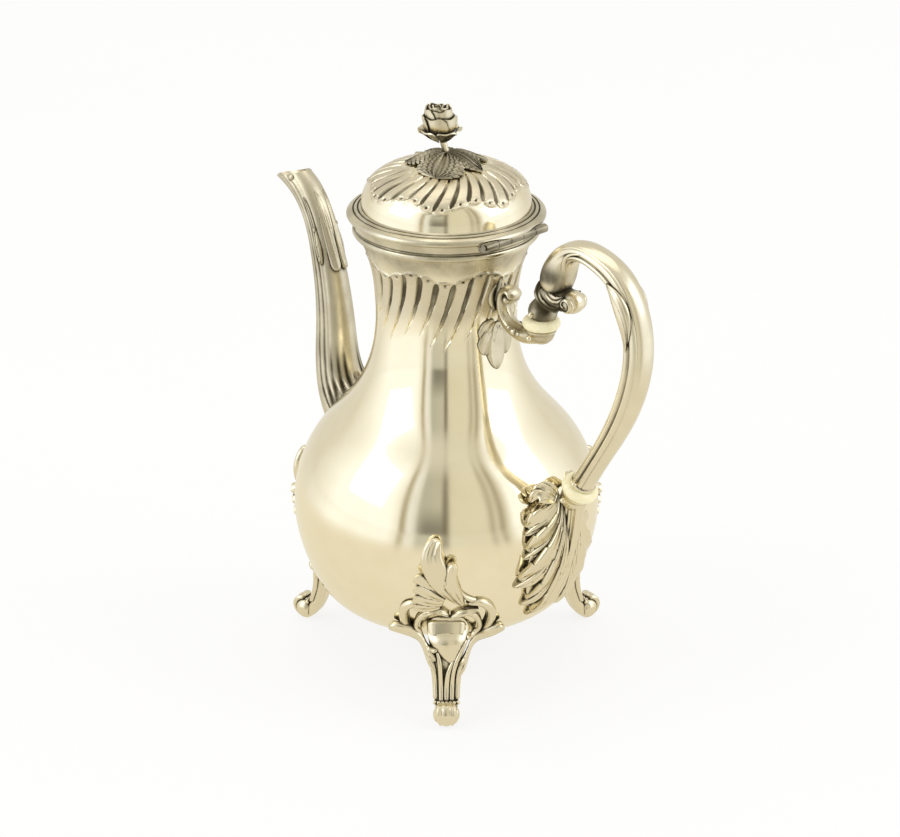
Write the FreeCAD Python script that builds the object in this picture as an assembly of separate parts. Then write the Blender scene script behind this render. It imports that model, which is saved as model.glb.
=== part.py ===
import FreeCAD, Part
import math
import os
from FreeCAD import Vector

# Driving dimensions in millimetres; heights are above the table, radii from the pot's axis,
# which is Z, with the handle towards +X and the spout towards -X

# Body, a pear shape raised from sheet
WALL = 1.0
BASE_RADIUS = 28.0
BASE_HEIGHT = 24.0
BELLY_RADIUS = 69.0
BELLY_HEIGHT = 79.0
NECK_RADIUS = 31.4
NECK_HEIGHT = 170.0
MOUTH_RADIUS = 38.6
BODY_TOP = 204.5
# Curve of each stretch, as shares of its change in radius and in height
BASE_TO_BELLY = ((0.646, 0.218), (0.876, 0.52))
BELLY_TO_NECK = ((0.306, 0.363), (0.655, 0.53), (0.89, 0.703))
NECK_TO_MOUTH = ((0.444, 0.71),)

# Mouth and lid mouldings
RIM_HEIGHT = 8.5
RIM_BEAD = 2.8
RIM_LIP = 3.4
LID_GAP = 0.3
FLANGE_HEIGHT = 4.7
FLANGE_LIP = 5.4
BEZEL_CLEARANCE = 0.8
BEZEL_DEPTH = 5.6
BEZEL_WALL = 1.2

# Lid dome and finial
DOME_INSET = 0.7
DOME_HEIGHT = 22.0
DOME_CURVE = ((0.985, 0.2), (0.915, 0.455), (0.745, 0.682), (0.41, 0.877))
STEM_RADIUS = 1.7
STEM_CLEARANCE = 0.05
STEM_ABOVE = 11.0
STEM_BELOW = 6.0
LEAF_COUNT = 5
MAIN_LEAF_ANGLE = -45.0
LEAF_REACH = 18.5
LEAF_VALLEY = 9.0
LEAF_RISE = 1.4
ROSE_RADIUS = 9.0
ROSE_HEIGHT = 18.5
ROSE_BASE = 6.5
ROSE_LEAN = 10.0
NUT_RADIUS = 5.0
NUT_HEIGHT = 3.2

# Hinge: five knuckles on one pin along Y, flush with the flange, each leaf a strip let into its moulding
HINGE_LENGTH = 38.0
KNUCKLE_COUNT = 5
KNUCKLE_RADIUS = 2.0
KNUCKLE_GAP = 0.3
HINGE_PIN_RADIUS = 0.8
HINGE_PIN_CLEARANCE = 0.05
HINGE_HEAD = 0.6
HINGE_HEAD_RADIUS = 1.4
HINGE_STRIP = 2.0

# Spout, on the side away from the handle: station reach, height, slope and half sizes
SPOUT_STATIONS = (
    (50.0, 101.0, 14.0, 23.0, 17.0),
    (66.0, 112.0, 60.0, 13.0, 12.5),
    (70.6, 124.0, 84.0, 10.4, 10.6),
    (72.0, 140.0, 86.0, 9.2, 9.2),
    (73.6, 157.0, 81.0, 8.2, 8.2),
    (77.4, 176.0, 76.0, 7.4, 7.4),
    (82.6, 192.0, 66.0, 7.0, 7.0),
    (91.0, 204.0, 45.0, 6.9, 6.8),
    (100.0, 209.6, 26.0, 6.6, 6.2),
    (108.0, 212.4, 18.0, 6.4, 5.2),
)
SPOUT_WALL = 1.0
LIP_TIP = (109.6, 205.6)
LIP_BACK = (88.5, 213.0)
STRAINER_HEIGHT = 104.0
STRAINER_RADIUS = 11.5
STRAINER_CLEARANCE = 0.05
STRAINER_THICKNESS = 1.2
STRAINER_SINK = 0.6
STRAINER_HOLE = 1.3
STRAINER_PITCH = 4.2
STRAINER_RINGS = 2

# Legs: the knee leaf lies on the belly, outline as sideways place and height
LEG_ANGLES = {"leg_front": -45.0, "leg_right": 75.0, "leg_left": -165.0}
LEG_LEAF = (
    (-4.4, 89.0), (-0.4, 85.5), (4.8, 79.5), (3.6, 70.0), (9.5, 62.0), (16.5, 58.4),
    (20.0, 48.5), (25.0, 41.5), (22.5, 35.0), (13.0, 31.0), (0.0, 30.0), (-13.0, 31.0),
    (-21.5, 35.0), (-25.2, 41.0), (-19.4, 47.0), (-17.4, 56.4), (-13.6, 61.0), (-13.4, 73.0),
    (-9.6, 79.5), (-7.0, 86.0),
)
LEG_RISE = 3.2
KNEE_STAND = 4.5
# Shaft height, half side and half depth
SHAFT_STATIONS = (
    (46.0, 13.0, 7.0), (37.0, 10.0, 5.6), (29.0, 6.8, 3.9), (18.0, 6.1, 3.3), (7.0, 6.1, 3.4),
)
FOOT_SPREAD = 6.4
FOOT_RADIUS = 6.4
FOOT_WIDTH = 12.0
FOOT_FLAT = 0.5
FOOT_ROUND = 1.6

# Handle rings, ivory, each between a socket cup and a handle end
RING_RADIUS = 8.4
RING_HEIGHT = 5.4
RING_ROUND = 1.6
TENON_RADIUS = 3.4
TENON_LENGTH = 4.6
TENON_CLEARANCE = 0.1
CUP_RADIUS = 7.0
UPPER_RING_REACH = 27.0
UPPER_RING_HEIGHT = 178.4
LOWER_RING_REACH = 13.5
LOWER_RING_HEIGHT = 107.5
LOWER_RING_SLOPE = 58.0

# Cross pins with bead heads
PIN_RADIUS = 0.75
PIN_CLEARANCE = 0.05
PIN_DEPTH = 2.6
BEAD_RADIUS = 1.3
BEAD_STAND = 0.8

# Upper socket: scroll reach beyond the neck, height, slope and half size
UPPER_SCROLL = (
    (9.0, 187.6, 180.0, 2.6), (5.0, 184.4, 236.0, 2.9), (4.2, 178.6, 283.0, 3.2),
    (8.2, 173.2, 322.0, 3.4), (14.6, 170.4, 348.0, 3.6), (21.4, 170.6, 12.0, 4.2),
    (25.6, 172.6, 58.0, 5.0),
)
SCROLL_EYE_REACH = 10.0
SCROLL_EYE_HEIGHT = 185.2
SCROLL_EYE_RADIUS = 3.8
SCROLL_EYE_WIDTH = 7.4
UPPER_CUP_HEIGHT = 7.0
NECK_LEAF = (
    (0.0, 147.0), (4.0, 152.0), (8.2, 155.5), (9.8, 163.0), (8.4, 172.0), (6.0, 184.0), (0.0, 190.0),
    (-6.0, 184.0), (-8.4, 172.0), (-9.8, 163.0), (-8.2, 155.5), (-4.0, 152.0),
)
NECK_LEAF_RISE = 1.8

# Lower socket: spine stand-off from the belly, height, slope and half sizes
LOWER_SPINE = (
    (3.0, 47.0, 62.0, 3.0, 4.0), (4.6, 58.0, 70.0, 4.6, 6.0), (6.0, 73.0, 78.0, 6.2, 8.0),
    (12.0, 90.0, 84.0, 7.0, 8.0),
)
BELLY_LEAF = (
    (0.0, 43.0), (8.0, 45.5), (13.6, 49.5), (18.0, 58.0), (25.0, 66.5), (25.0, 76.0), (22.2, 82.0),
    (23.4, 87.0), (18.2, 94.0), (12.6, 100.0), (6.0, 104.0), (0.0, 105.0), (-6.0, 104.0), (-12.6, 100.0),
    (-18.2, 94.0), (-23.4, 87.0), (-22.2, 82.0), (-25.0, 76.0), (-25.0, 66.5), (-18.0, 58.0), (-13.6, 49.5),
    (-8.0, 45.5),
)
BELLY_LEAF_RISE = 3.4
LOWER_CUP_HEIGHT = 7.0

# Handle: arch stations as the share of the way out from the upper ring to the grip, and the rise
# above that ring, then slope and half sizes; grip stations from the lower ring's top
HANDLE_ARCH = (
    (0.039, 7.0, 64.0, 6.4, 6.6), (0.115, 14.6, 66.0, 6.4, 6.6), (0.148, 22.0, 80.0, 5.9, 6.6),
    (0.219, 30.6, 50.0, 4.9, 6.6), (0.388, 35.9, 11.0, 4.4, 6.6), (0.596, 34.9, -17.0, 4.6, 6.6),
    (0.815, 28.1, -43.0, 5.2, 6.6), (0.955, 14.8, -70.0, 5.8, 6.6),
)
HANDLE_GRIP = (
    (31.4, 71.2, -91.0, 6.2, 6.6), (29.0, 54.2, -105.0, 5.8, 6.6), (20.9, 34.0, -117.0, 5.2, 6.2),
    (9.1, 14.2, -122.0, 4.6, 5.6),
)
HANDLE_END_RADIUS = 6.0
HANDLE_WALL = 1.0
VOLUTE_REACH = 18.2
VOLUTE_RISE = 11.6
VOLUTE_RADIUS = 5.4
VOLUTE_WIDTH = 9.0
VOLUTE_STEM = ((5.0, 13.6, -24.0, 5.8, 5.6), (11.0, 10.8, -20.0, 5.0, 5.2), (17.0, 9.2, -8.0, 3.2, 4.2))

# Sections and offsets are drawn through this many points
OVAL_POINTS = 12
POINTS_PER_LEAF = 8
OFFSET_STEPS = 28

# Heights and places that follow from the sizes above
MOUTH_BORE = MOUTH_RADIUS - WALL
DOME_RADIUS = MOUTH_RADIUS - DOME_INSET
FOOT_REACH = BELLY_RADIUS + FOOT_SPREAD
SEAM_BOTTOM = BODY_TOP + RIM_HEIGHT
SEAM_TOP = SEAM_BOTTOM + LID_GAP
DOME_BOTTOM = SEAM_TOP + FLANGE_HEIGHT
DOME_TOP = DOME_BOTTOM + DOME_HEIGHT
RIM_RADIUS = MOUTH_RADIUS + RIM_LIP
FLANGE_RADIUS = MOUTH_RADIUS + FLANGE_LIP
BEZEL_RADIUS = MOUTH_BORE - BEZEL_CLEARANCE
BEZEL_BORE = BEZEL_RADIUS - BEZEL_WALL
HINGE_X = FLANGE_RADIUS - KNUCKLE_RADIUS
HINGE_Z = SEAM_BOTTOM + LID_GAP / 2
KNUCKLE_PITCH = HINGE_LENGTH / KNUCKLE_COUNT
UP = Vector(0, 0, 1)
UPPER_RING = Vector(NECK_RADIUS + UPPER_RING_REACH, 0, UPPER_RING_HEIGHT)
LOWER_RING = Vector(BELLY_RADIUS + LOWER_RING_REACH, 0, LOWER_RING_HEIGHT)


def direction(slope):
    """Unit vector in the XZ plane at a slope in degrees above +X."""
    angle = math.radians(slope)
    return Vector(math.cos(angle), 0, math.sin(angle))


LOWER_RING_AXIS = direction(LOWER_RING_SLOPE)


def curve_through(points, closed=False):
    """Smooth curve through the points."""
    curve = Part.BSplineCurve()
    curve.interpolate(Points=points, PeriodicFlag=closed)
    return curve


def stretch(start, end, shares):
    """Points between two (radius, height) pairs, by shares of each change."""
    return [
        (start[0] + (end[0] - start[0]) * across, start[1] + (end[1] - start[1]) * up)
        for across, up in shares
    ]


def profile_curve(pairs):
    """Curve in the XZ plane through (radius, height) pairs."""
    return curve_through([Vector(radius, 0, height) for radius, height in pairs])


def offset_curve(curve, distance):
    """Curve a distance outside a profile that runs upwards."""
    first = curve.FirstParameter
    span = curve.LastParameter - first
    points = []
    for step in range(OFFSET_STEPS + 1):
        place = first + span * step / OFFSET_STEPS
        along = curve.tangent(place)[0]
        points.append(curve.value(place) + Vector(along.z, 0, -along.x) * distance)
    return curve_through(points)


def turned(curve):
    """Solid of revolution under a profile curve, closed by flat ends."""
    bottom = curve.StartPoint
    top = curve.EndPoint
    corners = [top, Vector(0, 0, top.z), Vector(0, 0, bottom.z), bottom]
    edges = [curve.toShape()]
    for start, end in zip(corners, corners[1:]):
        if start.distanceToPoint(end) > 1e-6:
            edges.append(Part.makeLine(start, end))
    return Part.Face(Part.Wire(edges)).revolve(Vector(), UP, 360)


def turned_layer(inner, outer):
    """Shell of revolution between two profile curves that run side by side."""
    edges = [
        outer.toShape(), Part.makeLine(outer.EndPoint, inner.EndPoint),
        inner.toShape(), Part.makeLine(inner.StartPoint, outer.StartPoint),
    ]
    return Part.Face(Part.Wire(edges)).revolve(Vector(), UP, 360)


def turned_ring(corners, centre=Vector(), axis=UP):
    """Ring or disc from a closed outline of (radius, height) corners about an axis."""
    across = Vector(0, 1, 0).cross(axis)
    points = [centre + across * radius + axis * height for radius, height in corners]
    return Part.Face(Part.makePolygon(points + points[:1])).revolve(centre, axis, 360)


def oval(centre, slope, half, half_side):
    """Closed oval section square to a slope in the XZ plane."""
    across = direction(slope - 90)
    points = []
    for step in range(OVAL_POINTS):
        turn = 2 * math.pi * step / OVAL_POINTS
        aside = Vector(0, half_side * math.sin(turn), 0)
        points.append(centre + across * (half * math.cos(turn)) + aside)
    return Part.Wire(curve_through(points, closed=True).toShape())


def tube(stations, origin=Vector(), thinner=0.0, longer=0.0):
    """Solid through oval sections given as (x, z, slope, half size, half side)."""
    sections = []
    for index, (x, z, slope, half, half_side) in enumerate(stations):
        beyond = longer * ((index == len(stations) - 1) - (index == 0))
        centre = origin + Vector(x, 0, z) + direction(slope) * beyond
        sections.append(oval(centre, slope, half - thinner, half_side - thinner))
    return Part.makeLoft(sections, True, False)


def cross_cylinder(centre, radius, width):
    """Cylinder along Y, centred on a point."""
    return Part.makeCylinder(radius, width, centre - Vector(0, width / 2, 0), Vector(0, 1, 0))


def body_curve():
    """Outer profile of the body from the underside to the mouth."""
    base = (BASE_RADIUS, BASE_HEIGHT)
    belly = (BELLY_RADIUS, BELLY_HEIGHT)
    neck = (NECK_RADIUS, NECK_HEIGHT)
    mouth = (MOUTH_RADIUS, BODY_TOP)
    pairs = [base] + stretch(base, belly, BASE_TO_BELLY)
    pairs += [belly] + stretch(belly, neck, BELLY_TO_NECK)
    pairs += [neck] + stretch(neck, mouth, NECK_TO_MOUTH) + [mouth]
    return profile_curve(pairs)


BODY_CURVE = body_curve()
BODY_SOLID = turned(BODY_CURVE)


def body_radius(height):
    """Outer radius of the body at a height."""
    level = Part.makeLine(Vector(0, 0, height), Vector(2 * BELLY_RADIUS, 0, height))
    return BODY_CURVE.toShape().distToShape(level)[1][0][0].x


def applied_leaf(outline, rise):
    """Leaf that lies on the body facing +X, cut from a layer of the body's own curve."""
    edge = curve_through([Vector(0, side, height) for side, height in outline], closed=True)
    blank = Part.Face(Part.Wire(edge.toShape())).extrude(Vector(2 * BELLY_RADIUS, 0, 0))
    return turned(offset_curve(BODY_CURVE, rise)).common(blank).cut(BODY_SOLID)


def dome_curve():
    """Outer profile of the lid's dome from the flange to the stem's hole in the crown."""
    pairs = [(DOME_RADIUS, DOME_BOTTOM)]
    pairs += [(DOME_RADIUS * across, DOME_BOTTOM + DOME_HEIGHT * up) for across, up in DOME_CURVE]
    pairs.append((STEM_RADIUS + STEM_CLEARANCE, DOME_TOP))
    points = [Vector(radius, 0, height) for radius, height in pairs]
    curve = Part.BSplineCurve()
    curve.interpolate(Points=points, InitialTangent=UP, FinalTangent=Vector(-1, 0, 0))
    return curve


DOME_OUTER = dome_curve()
DOME_INNER = offset_curve(DOME_OUTER, -WALL)


def strainer_frame():
    """Middle of the strainer on the body's outside, and the outward direction there."""
    middle = Vector(body_radius(STRAINER_HEIGHT), 0, STRAINER_HEIGHT)
    along = BODY_CURVE.tangent(BODY_CURVE.parameter(middle))[0]
    return Vector(-middle.x, 0, middle.z), Vector(-along.z, 0, -along.x)


def strainer_disc(radius, start, thickness):
    """Disc square to the wall at the strainer, from a depth below the outside."""
    middle, outward = strainer_frame()
    return Part.makeCylinder(radius, thickness, middle - outward * start, outward)


def spout_strainer():
    """Pierced plate set in the opening behind the spout, holes in rings round a middle one."""
    middle, outward = strainer_frame()
    radius = STRAINER_RADIUS - STRAINER_CLEARANCE
    plate = strainer_disc(radius, STRAINER_SINK + STRAINER_THICKNESS, STRAINER_THICKNESS)
    side = Vector(0, 1, 0)
    steep = outward.cross(side)
    places = [middle]
    for ring in range(1, STRAINER_RINGS + 1):
        for step in range(6 * ring):
            turn = 2 * math.pi * step / (6 * ring)
            towards = side * math.cos(turn) + steep * math.sin(turn)
            places.append(middle + towards * (STRAINER_PITCH * ring))
    reach = 2 * (STRAINER_SINK + STRAINER_THICKNESS)
    holes = []
    for place in places:
        holes.append(Part.makeCylinder(STRAINER_HOLE, 2 * reach, place - outward * reach, outward))
    return plate.cut(holes)


def body_shell():
    """Pear-shaped body with its floor and the opening for the strainer."""
    hollow = turned(offset_curve(BODY_CURVE, -WALL))
    opening = strainer_disc(STRAINER_RADIUS, STRAINER_RADIUS, 2 * STRAINER_RADIUS)
    return BODY_SOLID.cut(hollow).cut(opening)


def rim_outline(bore):
    """Moulded rim: a bead below and a lip at the seam."""
    return (
        (bore, BODY_TOP), (MOUTH_RADIUS, BODY_TOP),
        (MOUTH_RADIUS + 0.6 * RIM_BEAD, BODY_TOP + 0.12 * RIM_HEIGHT),
        (MOUTH_RADIUS + RIM_BEAD, BODY_TOP + 0.26 * RIM_HEIGHT),
        (MOUTH_RADIUS + RIM_BEAD, BODY_TOP + 0.44 * RIM_HEIGHT),
        (MOUTH_RADIUS + 0.7 * RIM_BEAD, BODY_TOP + 0.56 * RIM_HEIGHT),
        (RIM_RADIUS, BODY_TOP + 0.72 * RIM_HEIGHT),
        (RIM_RADIUS, BODY_TOP + RIM_HEIGHT), (bore, BODY_TOP + RIM_HEIGHT),
    )


def flange_outline(bore):
    """Moulded flange: a rounded lip that steps in to the dome."""
    inner_step = DOME_RADIUS + 0.2 * (FLANGE_RADIUS - DOME_RADIUS)
    return (
        (bore, SEAM_TOP), (FLANGE_RADIUS - 0.16 * FLANGE_HEIGHT, SEAM_TOP),
        (FLANGE_RADIUS, SEAM_TOP + 0.2 * FLANGE_HEIGHT), (FLANGE_RADIUS, SEAM_TOP + 0.5 * FLANGE_HEIGHT),
        (FLANGE_RADIUS - 0.3 * FLANGE_HEIGHT, SEAM_TOP + 0.8 * FLANGE_HEIGHT),
        (inner_step, SEAM_TOP + 0.88 * FLANGE_HEIGHT), (DOME_RADIUS, DOME_BOTTOM), (bore, DOME_BOTTOM),
    )


def lid_bezel():
    """Collar under the flange that enters the mouth."""
    return turned_ring((
        (BEZEL_BORE, SEAM_TOP), (BEZEL_RADIUS, SEAM_TOP),
        (BEZEL_RADIUS, SEAM_TOP - BEZEL_DEPTH), (BEZEL_BORE, SEAM_TOP - BEZEL_DEPTH),
    ))


def lid_dome():
    """Dome shell with a hole for the finial's stem."""
    return turned_layer(DOME_INNER, DOME_OUTER)


def finial_leaves():
    """Rosette of leaves that hugs the crown."""
    points = []
    steps = LEAF_COUNT * POINTS_PER_LEAF
    for step in range(steps):
        turn = 2 * math.pi * step / steps
        reach = LEAF_VALLEY + (LEAF_REACH - LEAF_VALLEY) * (0.5 + 0.5 * math.cos(LEAF_COUNT * turn))
        points.append(Vector(reach * math.cos(turn), reach * math.sin(turn), DOME_BOTTOM))
    outline = Part.Face(Part.Wire(curve_through(points, closed=True).toShape()))
    blank = outline.extrude(UP * (2 * DOME_HEIGHT))
    rosette = turned_layer(DOME_OUTER, offset_curve(DOME_OUTER, LEAF_RISE)).common(blank)
    rosette.rotate(Vector(), UP, MAIN_LEAF_ANGLE)
    return rosette


def finial_stem():
    """Stem from inside the lid up into the rose."""
    return Part.makeCylinder(STEM_RADIUS, STEM_BELOW + STEM_ABOVE, Vector(0, 0, DOME_TOP - STEM_BELOW))


def finial_rose():
    """Cup of petals, leaning a little, with a bore for the stem."""
    foot = DOME_TOP + ROSE_BASE
    outline = (
        (0, 0), (0.3, 0), (0.78, 0.14), (1.0, 0.36), (0.86, 0.5), (0.92, 0.66), (0.74, 0.86),
        (0.42, 1.0), (0, 1.0),
    )
    rose = turned_ring([(ROSE_RADIUS * across, ROSE_HEIGHT * up) for across, up in outline])
    rose.rotate(Vector(), Vector(1, -1, 0), ROSE_LEAN)
    rose.translate(UP * foot)
    bore = Part.makeCylinder(STEM_RADIUS + STEM_CLEARANCE, STEM_ABOVE, Vector(0, 0, DOME_TOP))
    return rose.cut(bore)


def finial_nut():
    """Round nut whose top fits the dome's inside."""
    height = DOME_TOP - WALL - NUT_HEIGHT
    blank = Part.makeCylinder(NUT_RADIUS, 2 * NUT_HEIGHT, Vector(0, 0, height))
    bore = STEM_RADIUS + STEM_CLEARANCE
    hole = Part.makeCylinder(bore, 4 * NUT_HEIGHT, Vector(0, 0, height - NUT_HEIGHT))
    return blank.common(turned(DOME_INNER)).cut(hole)


def knuckle(index, radius, extra=0.0):
    """One place along the hinge, as a cylinder on its axis."""
    middle = (index + 0.5) * KNUCKLE_PITCH - HINGE_LENGTH / 2
    width = KNUCKLE_PITCH - KNUCKLE_GAP + 2 * extra
    return cross_cylinder(Vector(HINGE_X, middle, HINGE_Z), radius, width)


def hinge_strip(bottom):
    """Strip of a hinge leaf along the barrel, from the body's wall to the pin."""
    corner = Vector(MOUTH_RADIUS, -HINGE_LENGTH / 2, bottom)
    return Part.makeBox(HINGE_X - MOUTH_RADIUS, HINGE_LENGTH, HINGE_STRIP, corner)


def hinge_leaf(bottom, own):
    """Hinge leaf with its own knuckles and room for the others."""
    leaf = hinge_strip(bottom)
    for index in range(KNUCKLE_COUNT):
        if index not in own:
            leaf = leaf.cut(knuckle(index, KNUCKLE_RADIUS + KNUCKLE_GAP, KNUCKLE_GAP))
    for index in own:
        leaf = leaf.fuse(knuckle(index, KNUCKLE_RADIUS))
    bore = HINGE_PIN_RADIUS + HINGE_PIN_CLEARANCE
    hole = cross_cylinder(Vector(HINGE_X, 0, HINGE_Z), bore, 2 * HINGE_LENGTH)
    return leaf.cut(hole).removeSplitter()


def hinge_room(bottom, own):
    """What a moulding gives up for its hinge leaf and for the other leaf's knuckles."""
    room = [hinge_strip(bottom)]
    for index in range(KNUCKLE_COUNT):
        extra = 0.0 if index in own else KNUCKLE_GAP
        room.append(knuckle(index, KNUCKLE_RADIUS + extra, extra))
    return room


def hinge_pin():
    """Pin with a flat head at each end."""
    pin = cross_cylinder(Vector(HINGE_X, 0, HINGE_Z), HINGE_PIN_RADIUS, HINGE_LENGTH)
    for side in (-1, 1):
        middle = side * (HINGE_LENGTH + HINGE_HEAD) / 2
        pin = pin.fuse(cross_cylinder(Vector(HINGE_X, middle, HINGE_Z), HINGE_HEAD_RADIUS, HINGE_HEAD))
    return pin.removeSplitter()


def spout():
    """Hollow spout cut to the belly's curve, with a slanting beak."""
    shell = tube(SPOUT_STATIONS).cut(tube(SPOUT_STATIONS, thinner=SPOUT_WALL, longer=SPOUT_WALL))
    along = Vector(LIP_TIP[0] - LIP_BACK[0], 0, LIP_TIP[1] - LIP_BACK[1]).normalize()
    above = Vector(-along.z, 0, along.x)
    corner = Vector(LIP_BACK[0], -BELLY_RADIUS, LIP_BACK[1]) - along * BELLY_RADIUS
    plane = Part.makePlane(3 * BELLY_RADIUS, 2 * BELLY_RADIUS, corner, above, along)
    shell = shell.cut(plane.extrude(above * BELLY_RADIUS)).cut(BODY_SOLID)
    shell.rotate(Vector(), UP, 180)
    return shell


def leg_blank():
    """Leg that faces +X: knee leaf, shaft and scroll foot in one casting."""
    knee_height = SHAFT_STATIONS[0][0]
    foot_height = SHAFT_STATIONS[-1][0]
    knee_reach = body_radius(knee_height) + KNEE_STAND - SHAFT_STATIONS[0][2]
    sections = []
    for height, half_side, half in SHAFT_STATIONS:
        share = (knee_height - height) / (knee_height - foot_height)
        reach = knee_reach + (FOOT_REACH - FOOT_RADIUS + SHAFT_STATIONS[-1][2] - knee_reach) * share ** 0.8
        sections.append(oval(Vector(reach, 0, height), 90, half, half_side))
    shaft = Part.makeLoft(sections, True, False)
    foot = cross_cylinder(Vector(FOOT_REACH, 0, FOOT_RADIUS - FOOT_FLAT), FOOT_RADIUS, FOOT_WIDTH)
    foot = foot.makeFillet(FOOT_ROUND, foot.Edges[:1] + foot.Edges[-1:])
    below = Part.makeBox(2 * FOOT_REACH, FOOT_REACH, FOOT_RADIUS, Vector(0, -FOOT_REACH / 2, -FOOT_RADIUS))
    leg = applied_leaf(LEG_LEAF, LEG_RISE).fuse([shaft, foot]).cut(BODY_SOLID).cut(below)
    return leg.removeSplitter()


def insulator(centre, axis):
    """Ivory ring with a tenon on each face, drilled for the cross pins."""
    half = RING_HEIGHT / 2
    ring = Part.makeCylinder(RING_RADIUS, RING_HEIGHT, centre - axis * half, axis)
    ring = ring.makeFillet(RING_ROUND, [edge for edge in ring.Edges if edge.Closed])
    reach = half + TENON_LENGTH
    tenon = Part.makeCylinder(TENON_RADIUS, 2 * reach, centre - axis * reach, axis)
    ring = ring.fuse(tenon).removeSplitter()
    for side in (-1, 1):
        place = pin_place(centre, axis, side)
        ring = ring.cut(cross_cylinder(place, PIN_RADIUS + PIN_CLEARANCE, 4 * TENON_RADIUS))
    return ring


def tenon_bore(centre, axis):
    """Room for a ring's tenons in the socket and in the handle."""
    half = RING_HEIGHT / 2 + TENON_LENGTH + TENON_CLEARANCE
    return Part.makeCylinder(TENON_RADIUS + TENON_CLEARANCE, 2 * half, centre - axis * half, axis)


def pin_place(centre, axis, side):
    """Where a cross pin passes through a tenon, above or below the ring."""
    return centre + axis * (side * (RING_HEIGHT / 2 + PIN_DEPTH))


def cross_pin(place, half_width, clearance=0.0):
    """Pin through a cup with a bead at each end, or with clearance the room that it needs."""
    pin = cross_cylinder(place, PIN_RADIUS + clearance, 2 * half_width)
    for side in (-1, 1):
        bead = place + Vector(0, side * (half_width + BEAD_STAND), 0)
        pin = pin.fuse(Part.makeSphere(BEAD_RADIUS + clearance, bead))
    return pin.removeSplitter()


def cup(centre, axis, height):
    """Socket cup under a ring, with a flat mouth."""
    top = centre - axis * (RING_HEIGHT / 2)
    outline = (
        (0, 0), (CUP_RADIUS, 0), (CUP_RADIUS, -0.5 * height),
        (0.66 * CUP_RADIUS, -height), (0, -height),
    )
    return turned_ring(outline, top, axis)


def upper_socket():
    """S-scroll bracket with a leaf on the neck and a cup."""
    stations = []
    for reach, height, slope, half in UPPER_SCROLL:
        stations.append((NECK_RADIUS + reach, height, slope, half, half))
    middle = Vector(NECK_RADIUS + SCROLL_EYE_REACH, 0, SCROLL_EYE_HEIGHT)
    eye = cross_cylinder(middle, SCROLL_EYE_RADIUS, SCROLL_EYE_WIDTH)
    leaf = applied_leaf(NECK_LEAF, NECK_LEAF_RISE)
    solid = tube(stations).fuse([eye, cup(UPPER_RING, UP, UPPER_CUP_HEIGHT), leaf])
    solid = solid.cut(BODY_SOLID).cut(tenon_bore(UPPER_RING, UP))
    return solid.cut(cross_pin(pin_place(UPPER_RING, UP, -1), CUP_RADIUS, PIN_CLEARANCE)).removeSplitter()


def lower_socket():
    """Acanthus socket: a leaf on the belly whose spine rises to a cup."""
    stations = []
    for stand, height, slope, half, side in LOWER_SPINE:
        stations.append((body_radius(height) + stand, height, slope, half, side))
    seat = LOWER_RING - LOWER_RING_AXIS * (RING_HEIGHT / 2 + 0.7 * LOWER_CUP_HEIGHT)
    stations.append((seat.x, seat.z, LOWER_RING_SLOPE, 0.7 * CUP_RADIUS, 0.7 * CUP_RADIUS))
    solid = tube(stations).fuse([
        cup(LOWER_RING, LOWER_RING_AXIS, LOWER_CUP_HEIGHT), applied_leaf(BELLY_LEAF, BELLY_LEAF_RISE),
    ])
    solid = solid.cut(BODY_SOLID).cut(tenon_bore(LOWER_RING, LOWER_RING_AXIS))
    room = cross_pin(pin_place(LOWER_RING, LOWER_RING_AXIS, -1), CUP_RADIUS, PIN_CLEARANCE)
    return solid.cut(room).removeSplitter()


def handle():
    """Hollow C-scroll handle between the two rings, with a volute at its upper end."""
    start = UPPER_RING + UP * (RING_HEIGHT / 2)
    end = LOWER_RING + LOWER_RING_AXIS * (RING_HEIGHT / 2)
    reach = end.x + HANDLE_GRIP[0][0] - start.x
    curve = [(start.x + reach * share, start.z + z, *rest) for share, z, *rest in HANDLE_ARCH]
    curve += [(end.x + x, end.z + z, *rest) for x, z, *rest in HANDLE_GRIP]
    first = (start.x, start.z, 90, HANDLE_END_RADIUS, HANDLE_END_RADIUS)
    last = (end.x, end.z, LOWER_RING_SLOPE - 180, HANDLE_END_RADIUS, HANDLE_END_RADIUS)
    eye = cross_cylinder(start + Vector(VOLUTE_REACH, 0, VOLUTE_RISE), VOLUTE_RADIUS, VOLUTE_WIDTH)
    solid = tube([first] + curve + [last]).fuse([tube(VOLUTE_STEM, start), eye])
    solid = solid.cut(tube(curve[1:], thinner=HANDLE_WALL))
    for centre, axis in ((UPPER_RING, UP), (LOWER_RING, LOWER_RING_AXIS)):
        room = cross_pin(pin_place(centre, axis, 1), HANDLE_END_RADIUS, PIN_CLEARANCE)
        solid = solid.cut(tenon_bore(centre, axis)).cut(room)
    return solid.removeSplitter()


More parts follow.
